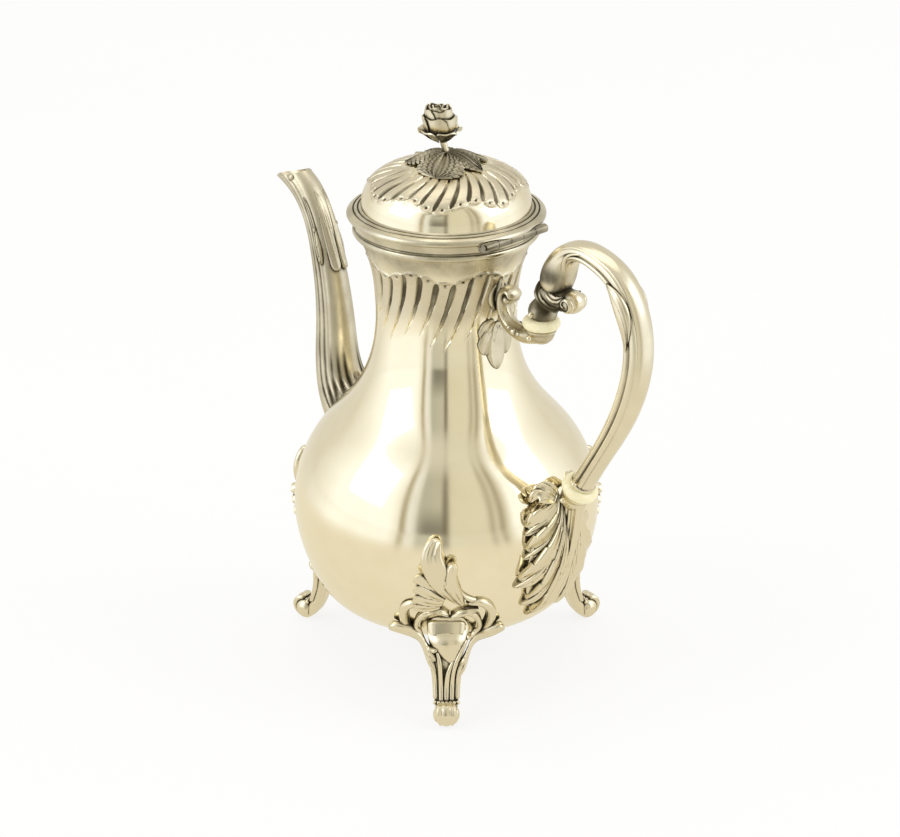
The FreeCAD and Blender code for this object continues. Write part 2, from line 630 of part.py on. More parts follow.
def pieces():
    """Every piece by name."""
    body_leaf = (SEAM_BOTTOM - HINGE_STRIP, range(0, KNUCKLE_COUNT, 2))
    lid_leaf = (SEAM_TOP, range(1, KNUCKLE_COUNT, 2))
    made = {
        "body_shell": body_shell(),
        "mouth_rim": turned_ring(rim_outline(MOUTH_BORE)).cut(hinge_room(*body_leaf)),
        "spout": spout(),
        "spout_strainer": spout_strainer(),
        "upper_socket": upper_socket(),
        "lower_socket": lower_socket(),
        "handle": handle(),
        "upper_insulator": insulator(UPPER_RING, UP),
        "lower_insulator": insulator(LOWER_RING, LOWER_RING_AXIS),
        "upper_socket_pin": cross_pin(pin_place(UPPER_RING, UP, -1), CUP_RADIUS),
        "upper_handle_pin": cross_pin(pin_place(UPPER_RING, UP, 1), HANDLE_END_RADIUS),
        "lower_socket_pin": cross_pin(pin_place(LOWER_RING, LOWER_RING_AXIS, -1), CUP_RADIUS),
        "lower_handle_pin": cross_pin(pin_place(LOWER_RING, LOWER_RING_AXIS, 1), HANDLE_END_RADIUS),
        "body_hinge_leaf": hinge_leaf(*body_leaf),
        "hinge_pin": hinge_pin(),
        "lid_dome": lid_dome(),
        "lid_flange": turned_ring(flange_outline(BEZEL_BORE)).cut(hinge_room(*lid_leaf)),
        "lid_bezel": lid_bezel(),
        "lid_hinge_leaf": hinge_leaf(*lid_leaf),
        "finial_leaves": finial_leaves(),
        "finial_stem": finial_stem(),
        "finial_rose": finial_rose(),
        "finial_nut": finial_nut(),
    }
    blank = leg_blank()
    for name, angle in LEG_ANGLES.items():
        leg = blank.copy()
        leg.rotate(Vector(), UP, angle)
        made[name] = leg
    return made


os.makedirs("parts", exist_ok=True)
for node, shape in pieces().items():
    shape.exportStep(f"parts/{node}.step")
    print(node, len(shape.Solids), round(shape.Volume), shape.isValid())
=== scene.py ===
import math
import bpy
import numpy as np
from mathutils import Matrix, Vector
from mathutils.bvhtree import BVHTree


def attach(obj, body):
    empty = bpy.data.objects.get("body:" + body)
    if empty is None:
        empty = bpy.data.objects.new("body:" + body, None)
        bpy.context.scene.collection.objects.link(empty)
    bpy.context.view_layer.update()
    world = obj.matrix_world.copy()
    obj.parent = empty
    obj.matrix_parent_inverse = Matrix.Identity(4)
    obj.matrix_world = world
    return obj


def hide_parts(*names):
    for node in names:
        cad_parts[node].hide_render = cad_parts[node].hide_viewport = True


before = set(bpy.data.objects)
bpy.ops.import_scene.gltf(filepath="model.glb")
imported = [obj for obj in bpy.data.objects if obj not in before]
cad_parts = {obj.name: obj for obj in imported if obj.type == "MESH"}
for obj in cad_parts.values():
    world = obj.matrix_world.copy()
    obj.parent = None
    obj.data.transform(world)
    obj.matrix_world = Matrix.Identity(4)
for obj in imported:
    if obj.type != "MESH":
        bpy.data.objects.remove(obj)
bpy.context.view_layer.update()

# Lengths below are millimetres on the pot's own axis, Z; the scene is in metres
MM = 0.001

# Camera, fitted to the photograph
VIEW_AZIMUTH = math.radians(45.0)
VIEW_ELEVATION = math.radians(22.53)
VIEW_DISTANCE = 1.700
VIEW_HEIGHT = 0.11615
VIEW_ASIDE = 0.0016
LENS = 150.96
SENSOR_WIDTH = 36.0

# Body profile from the underside to the mouth, as radius and height
BODY_PROFILE = (
    (28.0, 24.0), (54.5, 36.0), (63.9, 52.6), (69.0, 79.0), (57.5, 112.0),
    (44.4, 127.2), (35.5, 143.0), (31.4, 170.0), (34.6, 194.5), (38.6, 204.5),
)
WALL = 1.0

# Painted shade of the recesses, from ray-cast occlusion: rays from a point, gap they start at, least lean off
# the face, gain and offset
RAY_COUNT = 56
RAY_GAP = 0.06
RAY_LEAN = 0.12
HOLLOW_GAIN = 1.9
HOLLOW_OFFSET = -0.1
# Faces that meet at less than this angle are shaded as one
SMOOTH_ANGLE = math.radians(40)


def smooth_path(points, measure=None):
    """Natural cubic curve through points, as a function of shares 0 to 1 along it.

    The length is taken over the first coordinates, as many as measure says, or over all.
    """
    knots = np.array(points, float)
    steps = np.linalg.norm(np.diff(knots[:, :measure], axis=0), axis=1)
    marks = np.concatenate(([0.0], np.cumsum(steps))) / steps.sum()
    gaps = np.diff(marks)
    count = len(knots)
    pull = np.eye(count)
    load = np.zeros_like(knots)
    for i in range(1, count - 1):
        pull[i, i - 1:i + 2] = gaps[i - 1], 2 * (gaps[i - 1] + gaps[i]), gaps[i]
        load[i] = 6 * ((knots[i + 1] - knots[i]) / gaps[i] - (knots[i] - knots[i - 1]) / gaps[i - 1])
    bend = np.linalg.solve(pull, load)

    def at(shares):
        shares = np.clip(np.asarray(shares, float), 0, 1)
        i = np.clip(np.searchsorted(marks, shares, side="right") - 1, 0, count - 2)
        gap = gaps[i][..., None]
        after = (shares - marks[i])[..., None]
        before = gap - after
        curve = (bend[i] * before ** 3 + bend[i + 1] * after ** 3) / (6 * gap)
        curve += (knots[i] / gap - bend[i] * gap / 6) * before
        curve += (knots[i + 1] / gap - bend[i + 1] * gap / 6) * after
        return curve

    return at


def smoothstep(low, high, values):
    """Soft step from 0 at low to 1 at high."""
    share = np.clip((values - low) / (high - low), 0, 1)
    return share * share * (3 - 2 * share)


body_path = smooth_path(BODY_PROFILE)
body_shares = np.linspace(0, 1, 2001)
body_radii, body_heights = body_path(body_shares).T


def body_radius(height):
    """Outer radius of the plain body at a height."""
    return np.interp(height, body_heights, body_radii)


def deselect():
    """Leave nothing selected."""
    bpy.ops.object.select_all(action="DESELECT")


def pick(piece):
    """Select one piece alone and make it the active one."""
    deselect()
    piece.select_set(True)
    bpy.context.view_layer.objects.active = piece


def settle():
    """Put the active piece's place, turn and scale into its mesh."""
    bpy.ops.object.transform_apply(location=True, rotation=True, scale=True)


def read_points(mesh):
    """Vertex places of a mesh, in metres."""
    flat = np.empty(3 * len(mesh.vertices))
    mesh.vertices.foreach_get("co", flat)
    return flat.reshape(-1, 3)


def sheet(name, columns, rows, place):
    """Piece from a grid of faces: place(across, along) gives millimetres for shares 0 to 1."""
    deselect()
    bpy.ops.mesh.primitive_grid_add(x_subdivisions=columns, y_subdivisions=rows, size=2)
    piece = bpy.context.object
    piece.name = piece.data.name = name
    points = read_points(piece.data)
    x, y, z = place((points[:, 0] + 1) / 2, (points[:, 1] + 1) / 2)
    shaped = np.stack(np.broadcast_arrays(x, y, z), axis=1) * MM
    piece.data.vertices.foreach_set("co", shaped.ravel())
    piece.data.update()
    return piece


def weld(piece):
    """Close seams and poles and turn every face outwards."""
    pick(piece)
    bpy.ops.object.mode_set(mode="EDIT")
    bpy.ops.mesh.select_all(action="SELECT")
    bpy.ops.mesh.remove_doubles(threshold=1e-6)
    bpy.ops.mesh.normals_make_consistent(inside=False)
    bpy.ops.object.mode_set(mode="OBJECT")
    return piece


def compass(count):
    """Directions spread evenly over a sphere."""
    index = np.arange(count) + 0.5
    level = 1 - 2 * index / count
    turn = math.pi * (1 + 5 ** 0.5) * index
    ring = np.sqrt(1 - level ** 2)
    return np.stack((ring * np.cos(turn), ring * np.sin(turn), level), axis=1)


def body_blank():
    """Plain body as points and faces, to shade what lies against it."""
    turns = np.linspace(0, 2 * math.pi, 121)[:-1]
    rows = body_path(np.linspace(0, 1, 70))
    points = [(r * math.cos(t) * MM, r * math.sin(t) * MM, z * MM) for r, z in rows for t in turns]
    count = len(turns)
    faces = []
    for row in range(len(rows) - 1):
        for i in range(count):
            j = (i + 1) % count
            faces.append((row * count + i, row * count + j, (row + 1) * count + j, (row + 1) * count + i))
    return points, faces


def mark_hollows(piece, reach, beside_body=True, tarnish=0.0):
    """Store how shut in each point is, 0 to 1, as painted shade of the recesses, over an even tarnish."""
    mesh = piece.data
    points = read_points(mesh)
    normals = np.empty(3 * len(points))
    mesh.vertices.foreach_get("normal", normals)
    normals = normals.reshape(-1, 3)
    walls = [tuple(point) for point in points]
    faces = [tuple(face.vertices) for face in mesh.polygons]
    if beside_body:
        more, rings = body_blank()
        faces += [tuple(corner + len(walls) for corner in ring) for ring in rings]
        walls += more
    tree = BVHTree.FromPolygons(walls, faces)
    towards = compass(RAY_COUNT)
    facing = normals @ towards.T
    rays = [Vector(way) for way in towards]
    starts = points + normals * (RAY_GAP * MM)
    shut = np.zeros(len(points))
    for i, start in enumerate(starts):
        spot = Vector(start)
        weight = 0.0
        total = 0.0
        for j in np.nonzero(facing[i] > RAY_LEAN)[0]:
            weight += facing[i, j]
            gap = tree.ray_cast(spot, rays[j], reach * MM)[3]
            if gap is not None:
                total += facing[i, j] * (1 - gap / (reach * MM)) ** 0.5
        shut[i] = total / max(weight, 1e-6)
    if callable(tarnish):
        tarnish = tarnish(points / MM)
    # Painted shade: occlusion of cast rays darkens shut-in points, over the even tarnish
    store(piece, "hollow", np.clip(HOLLOW_GAIN * shut + HOLLOW_OFFSET + tarnish, 0, 1))


def add(tree, kind, **settings):
    """New shader node with its settings and input values."""
    node = tree.nodes.new("ShaderNode" + kind)
    for key, value in settings.items():
        if hasattr(node, key):
            setattr(node, key, value)
        else:
            node.inputs[key.replace("_", " ")].default_value = value
    return node


def ramp(tree, source, low, high, first=0.0, last=1.0):
    """Value mapped softly from low..high to first..last."""
    node = add(tree, "MapRange", interpolation_type="SMOOTHSTEP")
    for index, value in enumerate((low, high, first, last), 1):
        node.inputs[index].default_value = value
    tree.links.new(source, node.inputs[0])
    return node.outputs[0]


def maths(tree, operation, first, second):
    """Sum, product or other result of two values."""
    node = add(tree, "Math", operation=operation)
    for socket, value in zip(node.inputs, (first, second)):
        if isinstance(value, (int, float)):
            socket.default_value = value
        else:
            tree.links.new(value, socket)
    return node.outputs[0]


def blended(tree, share, first, second):
    """Colour mixed from two colours by a share."""
    node = add(tree, "Mix", data_type="RGBA")
    for socket, value in ((node.inputs[0], share), (node.inputs[6], first), (node.inputs[7], second)):
        if isinstance(value, (int, float, tuple)):
            socket.default_value = value
        else:
            tree.links.new(value, socket)
    return node.outputs[2]


def noise(tree, scale, detail=3.0, stretch=(1.0, 1.0, 1.0)):
    """Noise over the object's own coordinates, finer with scale."""
    spot = add(tree, "TexCoord")
    mapping = add(tree, "Mapping")
    mapping.inputs["Scale"].default_value = stretch
    tree.links.new(spot.outputs["Object"], mapping.inputs["Vector"])
    grain = add(tree, "TexNoise", Scale=scale, Detail=detail, Roughness=0.55)
    tree.links.new(mapping.outputs[0], grain.inputs["Vector"])
    return grain.outputs[0]


def attribute(tree, name):
    """Value stored at each point of a piece."""
    return add(tree, "Attribute", attribute_name=name).outputs["Fac"]


# Colours of the finishes: bright metal, the same seen warm, matted or browned, the dark of painted shade and
# tarnish in its recesses, and the rings' cream with the painted shade of their hollows
BRIGHT = (0.92, 0.845, 0.64, 1.0)
BRIGHT_CAST = (0.82, 0.745, 0.55, 1.0)
WARM = (0.85, 0.76, 0.55, 1.0)
MATTED = (0.60, 0.53, 0.39, 1.0)
BROWNED = (0.2, 0.175, 0.125, 1.0)
SHADE_TARNISH_DARK = (0.085, 0.07, 0.04, 1.0)
SHADE_TARNISH_DARK_CAST = (0.095, 0.08, 0.05, 1.0)
CREAM = (0.97, 0.89, 0.56, 1.0)
PALE_CREAM = (0.99, 0.94, 0.68, 1.0)
AGED_CREAM = (0.86, 0.74, 0.46, 1.0)
CREAM_SHADE = (0.45, 0.33, 0.16, 1.0)


def silver_wear_and_shade():
    """Shared look of old silver: bright metal, painted shade and tarnish dark in the hollows, hairlines and
    matted ribs.
    """
    tree = bpy.data.node_groups.new("silver_wear_and_shade", "ShaderNodeTree")
    sockets = tree.interface
    for name, kind in (("Bright", "Color"), ("Dark", "Color"), ("Roughness", "Float"), ("Shade_and_Tarnish", "Float")):
        sockets.new_socket(name, in_out="INPUT", socket_type="NodeSocket" + kind)
    for name, kind in (("Color", "Color"), ("Roughness", "Float"), ("Normal", "Vector")):
        sockets.new_socket(name, in_out="OUTPUT", socket_type="NodeSocket" + kind)
    given = tree.nodes.new("NodeGroupInput")
    out = tree.nodes.new("NodeGroupOutput")
    cloud = noise(tree, 70.0, 4.0)
    hairlines = noise(tree, 900.0, 2.0, (1.0, 1.0, 9.0))
    grain = noise(tree, 2600.0, 2.0)
    matting = attribute(tree, "matting")
    hollow = attribute(tree, "hollow")
    # Painted shade: the stored occlusion, with the even tarnish, blends the colour towards Dark and roughens
    # it
    patchy = maths(tree, "MULTIPLY", hollow, ramp(tree, cloud, 0.25, 0.7, 0.75, 1.15))
    shade_and_tarnish = ramp(tree, maths(tree, "MULTIPLY", patchy, given.outputs["Shade_and_Tarnish"]), 0.05, 0.95)
    toned = blended(tree, ramp(tree, cloud, 0.3, 0.75, 0.0, 0.35), given.outputs["Bright"], WARM)
    dulled = blended(tree, maths(tree, "MULTIPLY", matting, 0.6), toned, MATTED)
    colour = blended(tree, shade_and_tarnish, dulled, given.outputs["Dark"])
    rough = maths(tree, "ADD", given.outputs["Roughness"], ramp(tree, cloud, 0.35, 0.8, 0.0, 0.05))
    rough = maths(tree, "ADD", rough, maths(tree, "MULTIPLY", shade_and_tarnish, 0.5))
    rough = maths(tree, "ADD", rough, maths(tree, "MULTIPLY", matting, 0.22))
    fine = maths(tree, "MULTIPLY", hairlines, 0.06)
    coarse = maths(tree, "MULTIPLY", grain, matting)
    bump = add(tree, "Bump", Strength=0.35, Distance=0.0002)
    tree.links.new(maths(tree, "ADD", fine, coarse), bump.inputs["Height"])
    tree.links.new(colour, out.inputs["Color"])
    tree.links.new(rough, out.inputs["Roughness"])
    tree.links.new(bump.outputs[0], out.inputs["Normal"])
    return tree


def fresh_material(name):
    """Empty material with its shader and output."""
    material = bpy.data.materials.new(name)
    material.use_nodes = True
    return material, material.node_tree, material.node_tree.nodes["Principled BSDF"]


WEAR_AND_SHADE = silver_wear_and_shade()


def silver_material(name, bright, dark, roughness, shade_and_tarnish):
    """Silver with the shared wear and painted shade."""
    material, tree, shader = fresh_material(name)
    shader.inputs["Metallic"].default_value = 1.0
    wear_and_shade = tree.nodes.new("ShaderNodeGroup")
    wear_and_shade.node_tree = WEAR_AND_SHADE
    for key, value in (("Bright", bright), ("Dark", dark), ("Roughness", roughness), ("Shade_and_Tarnish", shade_and_tarnish)):
        wear_and_shade.inputs[key].default_value = value
    for key, socket in (("Color", "Base Color"), ("Roughness", "Roughness"), ("Normal", "Normal")):
        tree.links.new(wear_and_shade.outputs[key], shader.inputs[socket])
    return material


def ivory_material():
    """Cream ring material with a faint grain, soft depth and painted shade in its hollows."""
    material, tree, shader = fresh_material("ivory")
    grain = noise(tree, 350.0, 4.0, (1.0, 1.0, 5.0))
    cloud = noise(tree, 110.0, 3.0)
    colour = blended(tree, ramp(tree, grain, 0.35, 0.7), CREAM, PALE_CREAM)
    colour = blended(tree, ramp(tree, cloud, 0.5, 0.85, 0.0, 0.4), colour, AGED_CREAM)
    # Painted shade: the stored occlusion darkens the cream in the ring's hollows
    colour = blended(tree, maths(tree, "MULTIPLY", attribute(tree, "hollow"), 0.8), colour, CREAM_SHADE)
    tree.links.new(colour, shader.inputs["Base Color"])
    tree.links.new(ramp(tree, grain, 0.2, 0.8, 0.22, 0.34), shader.inputs["Roughness"])
    shader.inputs["Coat Weight"].default_value = 0.25
    shader.inputs["Coat Roughness"].default_value = 0.15
    return material


POLISHED = silver_material("polished_silver", BRIGHT, SHADE_TARNISH_DARK, 0.08, 1.0)
CAST = silver_material("cast_silver", BRIGHT_CAST, SHADE_TARNISH_DARK_CAST, 0.2, 1.05)
TARNISHED = silver_material("tarnished_silver", BROWNED, SHADE_TARNISH_DARK, 0.22, 1.0)
IVORY = ivory_material()
FINISHES = {"polished_silver": POLISHED, "cast_silver": CAST, "ivory": IVORY}
# Pieces of the hinge, which keep their plain shapes
HINGE_NODES = ("body_hinge_leaf", "lid_hinge_leaf", "hinge_pin")


def dress(piece, body, slot, *nodes, hollows=3.0, beside_body=True, tarnish=0.0, satin=0.0):
    """Finish a piece: smooth shading, painted shade in its recesses, material, and its place in the frame."""
    pick(piece)
    bpy.ops.object.shade_smooth_by_angle(angle=SMOOTH_ANGLE)
    if hollows:
        mark_hollows(piece, hollows, beside_body, tarnish)
    if satin:
        store(piece, "matting", np.full(len(piece.data.vertices), satin))
    piece.data.materials.clear()
    piece.data.materials.append(FINISHES[slot])
    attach(piece, body)
    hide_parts(*nodes)
    return piece


def turned_ring(name, outline, segments=192):
    """Ring turned from a closed outline of radius and height: a circle drawn out step by step."""
    deselect()
    radius, height = outline[0]
    bpy.ops.mesh.primitive_circle_add(vertices=segments, radius=radius * MM, location=(0, 0, height * MM))
    piece = bpy.context.object
    piece.name = piece.data.name = name
    settle()
    bpy.ops.object.mode_set(mode="EDIT")
    bpy.ops.mesh.select_all(action="SELECT")
    for next_radius, next_height in outline[1:] + outline[:1]:
        rise = (0, 0, (next_height - height) * MM)
        bpy.ops.mesh.extrude_edges_move(TRANSFORM_OT_translate={"value": rise})
        wider = next_radius / radius
        bpy.ops.transform.resize(value=(wider, wider, 1), center_override=(0, 0, 0))
        radius, height = next_radius, next_height
    bpy.ops.object.mode_set(mode="OBJECT")
    return weld(piece)


def rounded(corners, steps=6):
    """Closed outline through corners (radius, height, rounding), each rounded by its own amount."""
    points = []
    count = len(corners)
    for i, (radius, height, rounding) in enumerate(corners):
        corner = np.array((radius, height))
        if rounding <= 0:
            points.append(tuple(corner))
            continue
        before = np.array(corners[i - 1][:2]) - corner
        after = np.array(corners[(i + 1) % count][:2]) - corner
        back, ahead = np.linalg.norm(before), np.linalg.norm(after)
        start = corner + before / back * min(rounding, 0.45 * back)
        end = corner + after / ahead * min(rounding, 0.45 * ahead)
        for share in np.linspace(0, 1, steps):
            bend = (1 - share) ** 2 * start + 2 * share * (1 - share) * corner + share ** 2 * end
            points.append(tuple(bend))
    return points


# Swirled flutes on the neck and on the lid
NECK_FLUTES = 28
LID_FLUTES = 30
# One flute: half width of its groove as a share, rises of its rib and of the scallop at its end, radius and
# depth of the prick there, way to the scale cut across the rib, and how dark the painted shade of groove and
# edge is
GROOVE_HALF = 0.25
RIB_RISE = 0.3
SCALLOP_RISE = 1.9
PRICK_RADIUS = 0.62
PRICK_DEPTH = 0.95
SCALE_WAY = 5.2
GROOVE_DARK = 0.78
EDGE_DARK = 0.3
# Waves of the scalloped edge round the pot and their height; columns of faces over one flute
FLUTE_WAVES = 7
FLUTE_WAVE = 2.1
FLUTE_COLUMNS = (0.0, 0.05, 0.1, 0.15, 0.2, 0.27, 0.36, 0.5, 0.64, 0.73, 0.8, 0.85, 0.9, 0.95)


def flute_wave(phase, flutes, start):
    """Rise and fall of the flutes' ends round the pot, -1 to 1."""
    return np.cos(2 * math.pi * phase * FLUTE_WAVES / flutes + start)


def flute_relief(phase, inward, length, pitch, depth):
    """Relief of flutes that end in a scalloped, pricked edge, their matting and the painted shade of their
    grooves, pricks and edge.

    phase counts flutes with grooves at whole numbers; inward is the way from the edge into the flutes.
    """
    across = phase - np.floor(phase) - 0.5
    beside = 0.5 - np.abs(across)
    share = np.clip(1 - inward / length, 0, 1)
    width = GROOVE_HALF * share ** 0.65 * np.sqrt(np.clip(1 - share ** 16, 0, 1)) + 1e-4
    groove = (1 - smoothstep(0.5, 1.0, beside / width)) * smoothstep(0.0, 0.3, share) * (inward > 0)
    arch = SCALLOP_RISE * np.sqrt(np.clip(1 - (2 * across) ** 2, 0, 1)) - 0.2
    past = inward + arch
    inside = smoothstep(-0.3, 0.3, past) * smoothstep(0.0, 0.45, share)
    edge = np.exp(-((past - 0.35) / 0.35) ** 2) * smoothstep(0.4, 0.8, share)
    prick = np.exp(-((across * pitch) ** 2 + (inward - 0.3) ** 2) / PRICK_RADIUS ** 2)
    scale = np.exp(-((inward - SCALE_WAY + 14 * across ** 2) / 0.28) ** 2) * (np.abs(across) < 0.24)
    relief = RIB_RISE * inside * (1 - 1.2 * across ** 2) + RIB_RISE * edge
    relief -= depth * groove + PRICK_DEPTH * prick + 0.14 * scale * inside
    matting = inside * (1 - groove) * (1 - prick) * smoothstep(0.15, 0.5, share)
    # Painted shade: dark in the grooves and pricks, and in a line just outside the scalloped edge
    dark_grooves = GROOVE_DARK * groove * smoothstep(0.1, 0.6, share)
    dark_pricks = np.minimum(1, 1.5 * prick) * (share > 0.5)
    dark_edge = EDGE_DARK * np.exp(-((past + 0.5) / 0.5) ** 2) * smoothstep(0.4, 0.8, share)
    hollow = np.maximum(np.maximum(dark_grooves, dark_pricks), dark_edge)
    return relief, np.clip(matting, 0, 1), np.clip(hollow, 0, 1)


def flute_phase(across, flutes):
    """Flute count round the pot for shares 0 to 1, with columns crowded at the grooves."""
    columns = np.array(FLUTE_COLUMNS + (1.0,))
    whole = np.asarray(across) * flutes
    cell = np.floor(whole + 1e-6)
    return cell + np.interp(whole - cell, np.linspace(0, 1, len(columns)), columns)


def outward(radii, heights):
    """Unit normals of a profile that runs upwards on the outside."""
    along = np.stack((np.gradient(radii), np.gradient(heights)), axis=1)
    along /= np.linalg.norm(along, axis=1)[:, None]
    return along[:, 1], -along[:, 0]


def spaced(stops):
    """Row marks from (start, end, step) stretches."""
    marks = [np.linspace(a, b, max(2, int(round(abs(b - a) / step)) + 1))[:-1] for a, b, step in stops]
    return np.concatenate(marks + [[stops[-1][1]]])


def store(piece, name, values):
    """Keep a value at each point of a piece."""
    layer = piece.data.attributes.new(name, "FLOAT", "POINT")
    layer.data.foreach_set("value", np.asarray(values, np.float32))


def shell_of_revolution(name, flutes, radii, heights, thickness, twist, relief):
    """Shell turned from an outer profile: fluted outside, plain inside, closed over the top edge.

    twist turns the flutes; relief gives the outside's relief, matting and hollows.
    """
    out_r, out_z = outward(radii, heights)
    inner_r = np.maximum(radii - out_r * thickness, 0)
    inner_z = heights - out_z * thickness
    keep = np.linspace(0, len(radii) - 1, 36).astype(int)
    count = len(radii)
    rows = np.concatenate((keep, np.arange(count)[::-1]))
    outside = np.concatenate((np.zeros(len(keep), bool), np.ones(count, bool)))
    columns = flutes * len(FLUTE_COLUMNS)
    found = {}

    def shape(across, along):
        row = np.round(along * (len(rows) - 1)).astype(int)
        spot = rows[row]
        out = outside[row]
        phase = flute_phase(across, flutes)
        lift, matting, hollow = relief(phase, radii[spot], heights[spot])
        lift = np.where(out, lift, 0)
        radius = np.where(out, radii[spot] + out_r[spot] * lift, inner_r[spot])
        height = np.where(out, heights[spot] + out_z[spot] * lift, inner_z[spot])
        angle = 2 * math.pi * phase / flutes + twist(radii[spot], heights[spot])
        found["matting"] = np.where(out, matting, 0)
        found["hollow"] = np.where(out, hollow, 0)
        return radius * np.cos(angle), radius * np.sin(angle), height

    piece = sheet(name, columns, len(rows) - 1, shape)
    for kind, values in found.items():
        store(piece, kind, values)
    return weld(piece)


# Neck flutes: mean heights of their edge and of their thin ends, wave of those ends, depth, and the swirl and
# the heights it runs between
NECK_EDGE = 194.6
NECK_THIN = 163.0
NECK_THIN_WAVE = 3.4
NECK_DEPTH = 1.0
NECK_SWIRL = math.radians(24)
SWIRL_LOW = 158.0
SWIRL_HIGH = 198.0


def neck_twist(radius, height):
    """Turn of the neck's flutes at a height."""
    share = np.clip((height - SWIRL_LOW) / (SWIRL_HIGH - SWIRL_LOW), 0, 1)
    return NECK_SWIRL * (1 - (1 - share) ** 1.7) - NECK_SWIRL


def neck_relief(phase, radius, height):
    """Relief, matting and hollows of the neck's flutes, with painted shade in a band just under the mouth's
    rim.
    """
    top = NECK_EDGE + FLUTE_WAVE * flute_wave(phase, NECK_FLUTES, 2.2)
    low = NECK_THIN + NECK_THIN_WAVE * flute_wave(phase, NECK_FLUTES, 0.4)
    near = (height > 150) & (height < 203)
    found = flute_relief(phase, top - height, top - low, 2 * math.pi * radius / NECK_FLUTES, NECK_DEPTH)
    lift, matting, hollow = (np.where(near, kind, 0) for kind in found)
    # Painted shade: a darker band just under the mouth's rim
    return lift, matting, np.maximum(hollow, 0.5 * smoothstep(188.0, 202.0, height))


def body_shell():
    """Pear body: plain belly, swirled flutes round the neck."""
    heights = spaced(((26, 40, 1.2), (40, 140, 3.2), (140, 158, 1.5), (158, 200, 0.42), (200, 204.5, 0.9)))
    shares = np.interp(heights, body_heights, body_shares)
    radii = body_path(shares)[:, 0]
    heights = np.concatenate(([24.0, 24.0, 23.9, 24.0, 24.3], heights))
    radii = np.concatenate(([0.0, 12.0, 24.0, 28.0, 31.5], radii))
    piece = shell_of_revolution("pear_body", NECK_FLUTES, radii, heights, WALL, neck_twist, neck_relief)
    return dress(piece, "pot", "polished_silver", "body_shell", hollows=None)


# Lid dome profile from the flange to the crown, as radius and height
DOME_PROFILE = (
    (37.9, 218.0), (37.33, 222.4), (34.68, 228.01), (28.24, 233.0), (15.54, 237.29), (6.0, 239.65),
    (0.0, 240.0),
)
# Lid flutes: way from the flange up to their edge, length, depth, swirl and the radii it runs between
LID_EDGE = 11.8
LID_LENGTH = 25.0
LID_DEPTH = 0.75
LID_SWIRL = math.radians(20)
LID_SWIRL_FROM = 10.0
LID_SWIRL_TO = 37.0
dome_path = smooth_path(DOME_PROFILE)
dome_radii, dome_heights = dome_path(np.linspace(0, 1, 1201)).T
dome_ways = np.concatenate(([0.0], np.cumsum(np.hypot(np.diff(dome_radii), np.diff(dome_heights)))))


def lid_twist(radius, height):
    """Turn of the lid's flutes, down from the crown."""
    share = np.clip((radius - LID_SWIRL_FROM) / (LID_SWIRL_TO - LID_SWIRL_FROM), 0, 1)
    return -LID_SWIRL * share ** 1.3


def lid_dome():
    """Domed lid: swirled flutes above a plain band."""
    ways = spaced(((0, 6, 0.9), (6, 16, 0.4), (16, 35, 0.55), (35, dome_ways[-1], 1.6)))
    radii = np.interp(ways, dome_ways, dome_radii)
    heights = np.interp(ways, dome_ways, dome_heights)
    radii[-1] = 0.0

    def relief(phase, radius, height):
        way = np.interp(height, dome_heights, dome_ways)
        edge = LID_EDGE + FLUTE_WAVE * flute_wave(phase, LID_FLUTES, 1.0)
        return flute_relief(phase, way - edge, LID_LENGTH, 2 * math.pi * radius / LID_FLUTES, LID_DEPTH)

    piece = shell_of_revolution("domed_lid", LID_FLUTES, radii, heights, WALL, lid_twist, relief)
    return dress(piece, "lid", "polished_silver", "lid_dome", hollows=None)


def joined(name, parts):
    """One piece from parts that were modelled apart."""
    deselect()
    for part in parts:
        part.select_set(True)
    bpy.context.view_layer.objects.active = parts[0]
    bpy.ops.object.join()
    parts[0].name = parts[0].data.name = name
    return parts[0]


def eased(values):
    """Smooth run of values along a length, as a function of shares 0 to 1."""
    curve = smooth_path([(10.0 * i, value) for i, value in enumerate(values)])
    return lambda shares: curve(shares)[:, 1]


def rounded_ends(along, caps):
    """1 along a length, falling to 0 in a round over each end's share."""
    start, end = caps
    near = np.clip(along / max(start, 1e-6), 0, 1)
    far = np.clip((1 - along) / max(end, 1e-6), 0, 1)
    return np.sqrt(np.clip(1 - (1 - near) ** 2, 0, 1)) * np.sqrt(np.clip(1 - (1 - far) ** 2, 0, 1))


body_out_r, body_out_z = outward(body_radii, body_heights)


def on_body(azimuth=0.0):
    """Surface of the body facing an azimuth: sideways place, height and lift to a point."""
    def surface(side, height, lift):
        radius = body_radius(height)
        angle = np.arcsin(np.clip(side / radius, -0.97, 0.97)) + azimuth
        reach = radius + lift * np.interp(height, body_heights, body_out_r)
        raised = height + lift * np.interp(height, body_heights, body_out_z)
        return reach * np.cos(angle), reach * np.sin(angle), raised

    return surface


def on_dome(azimuth):
    """Surface of the lid's dome: sideways place, way out from the crown and lift to a point."""
    def surface(side, out, lift):
        radius = np.hypot(side, out)
        angle = np.arctan2(side, out) + azimuth
        height = np.interp(-radius, -dome_radii, dome_heights)
        return radius * np.cos(angle), radius * np.sin(angle), height + lift

    return surface


def heading(path, along, step=0.004):
    """Unit direction of a path in its first two coordinates, at shares along it."""
    ahead = (path(np.minimum(along + step, 1)) - path(np.maximum(along - step, 0)))[:, :2]
    return ahead / np.linalg.norm(ahead, axis=1)[:, None]


# Share of a stroke's columns on its upper face
UPPER_FACE = 0.7


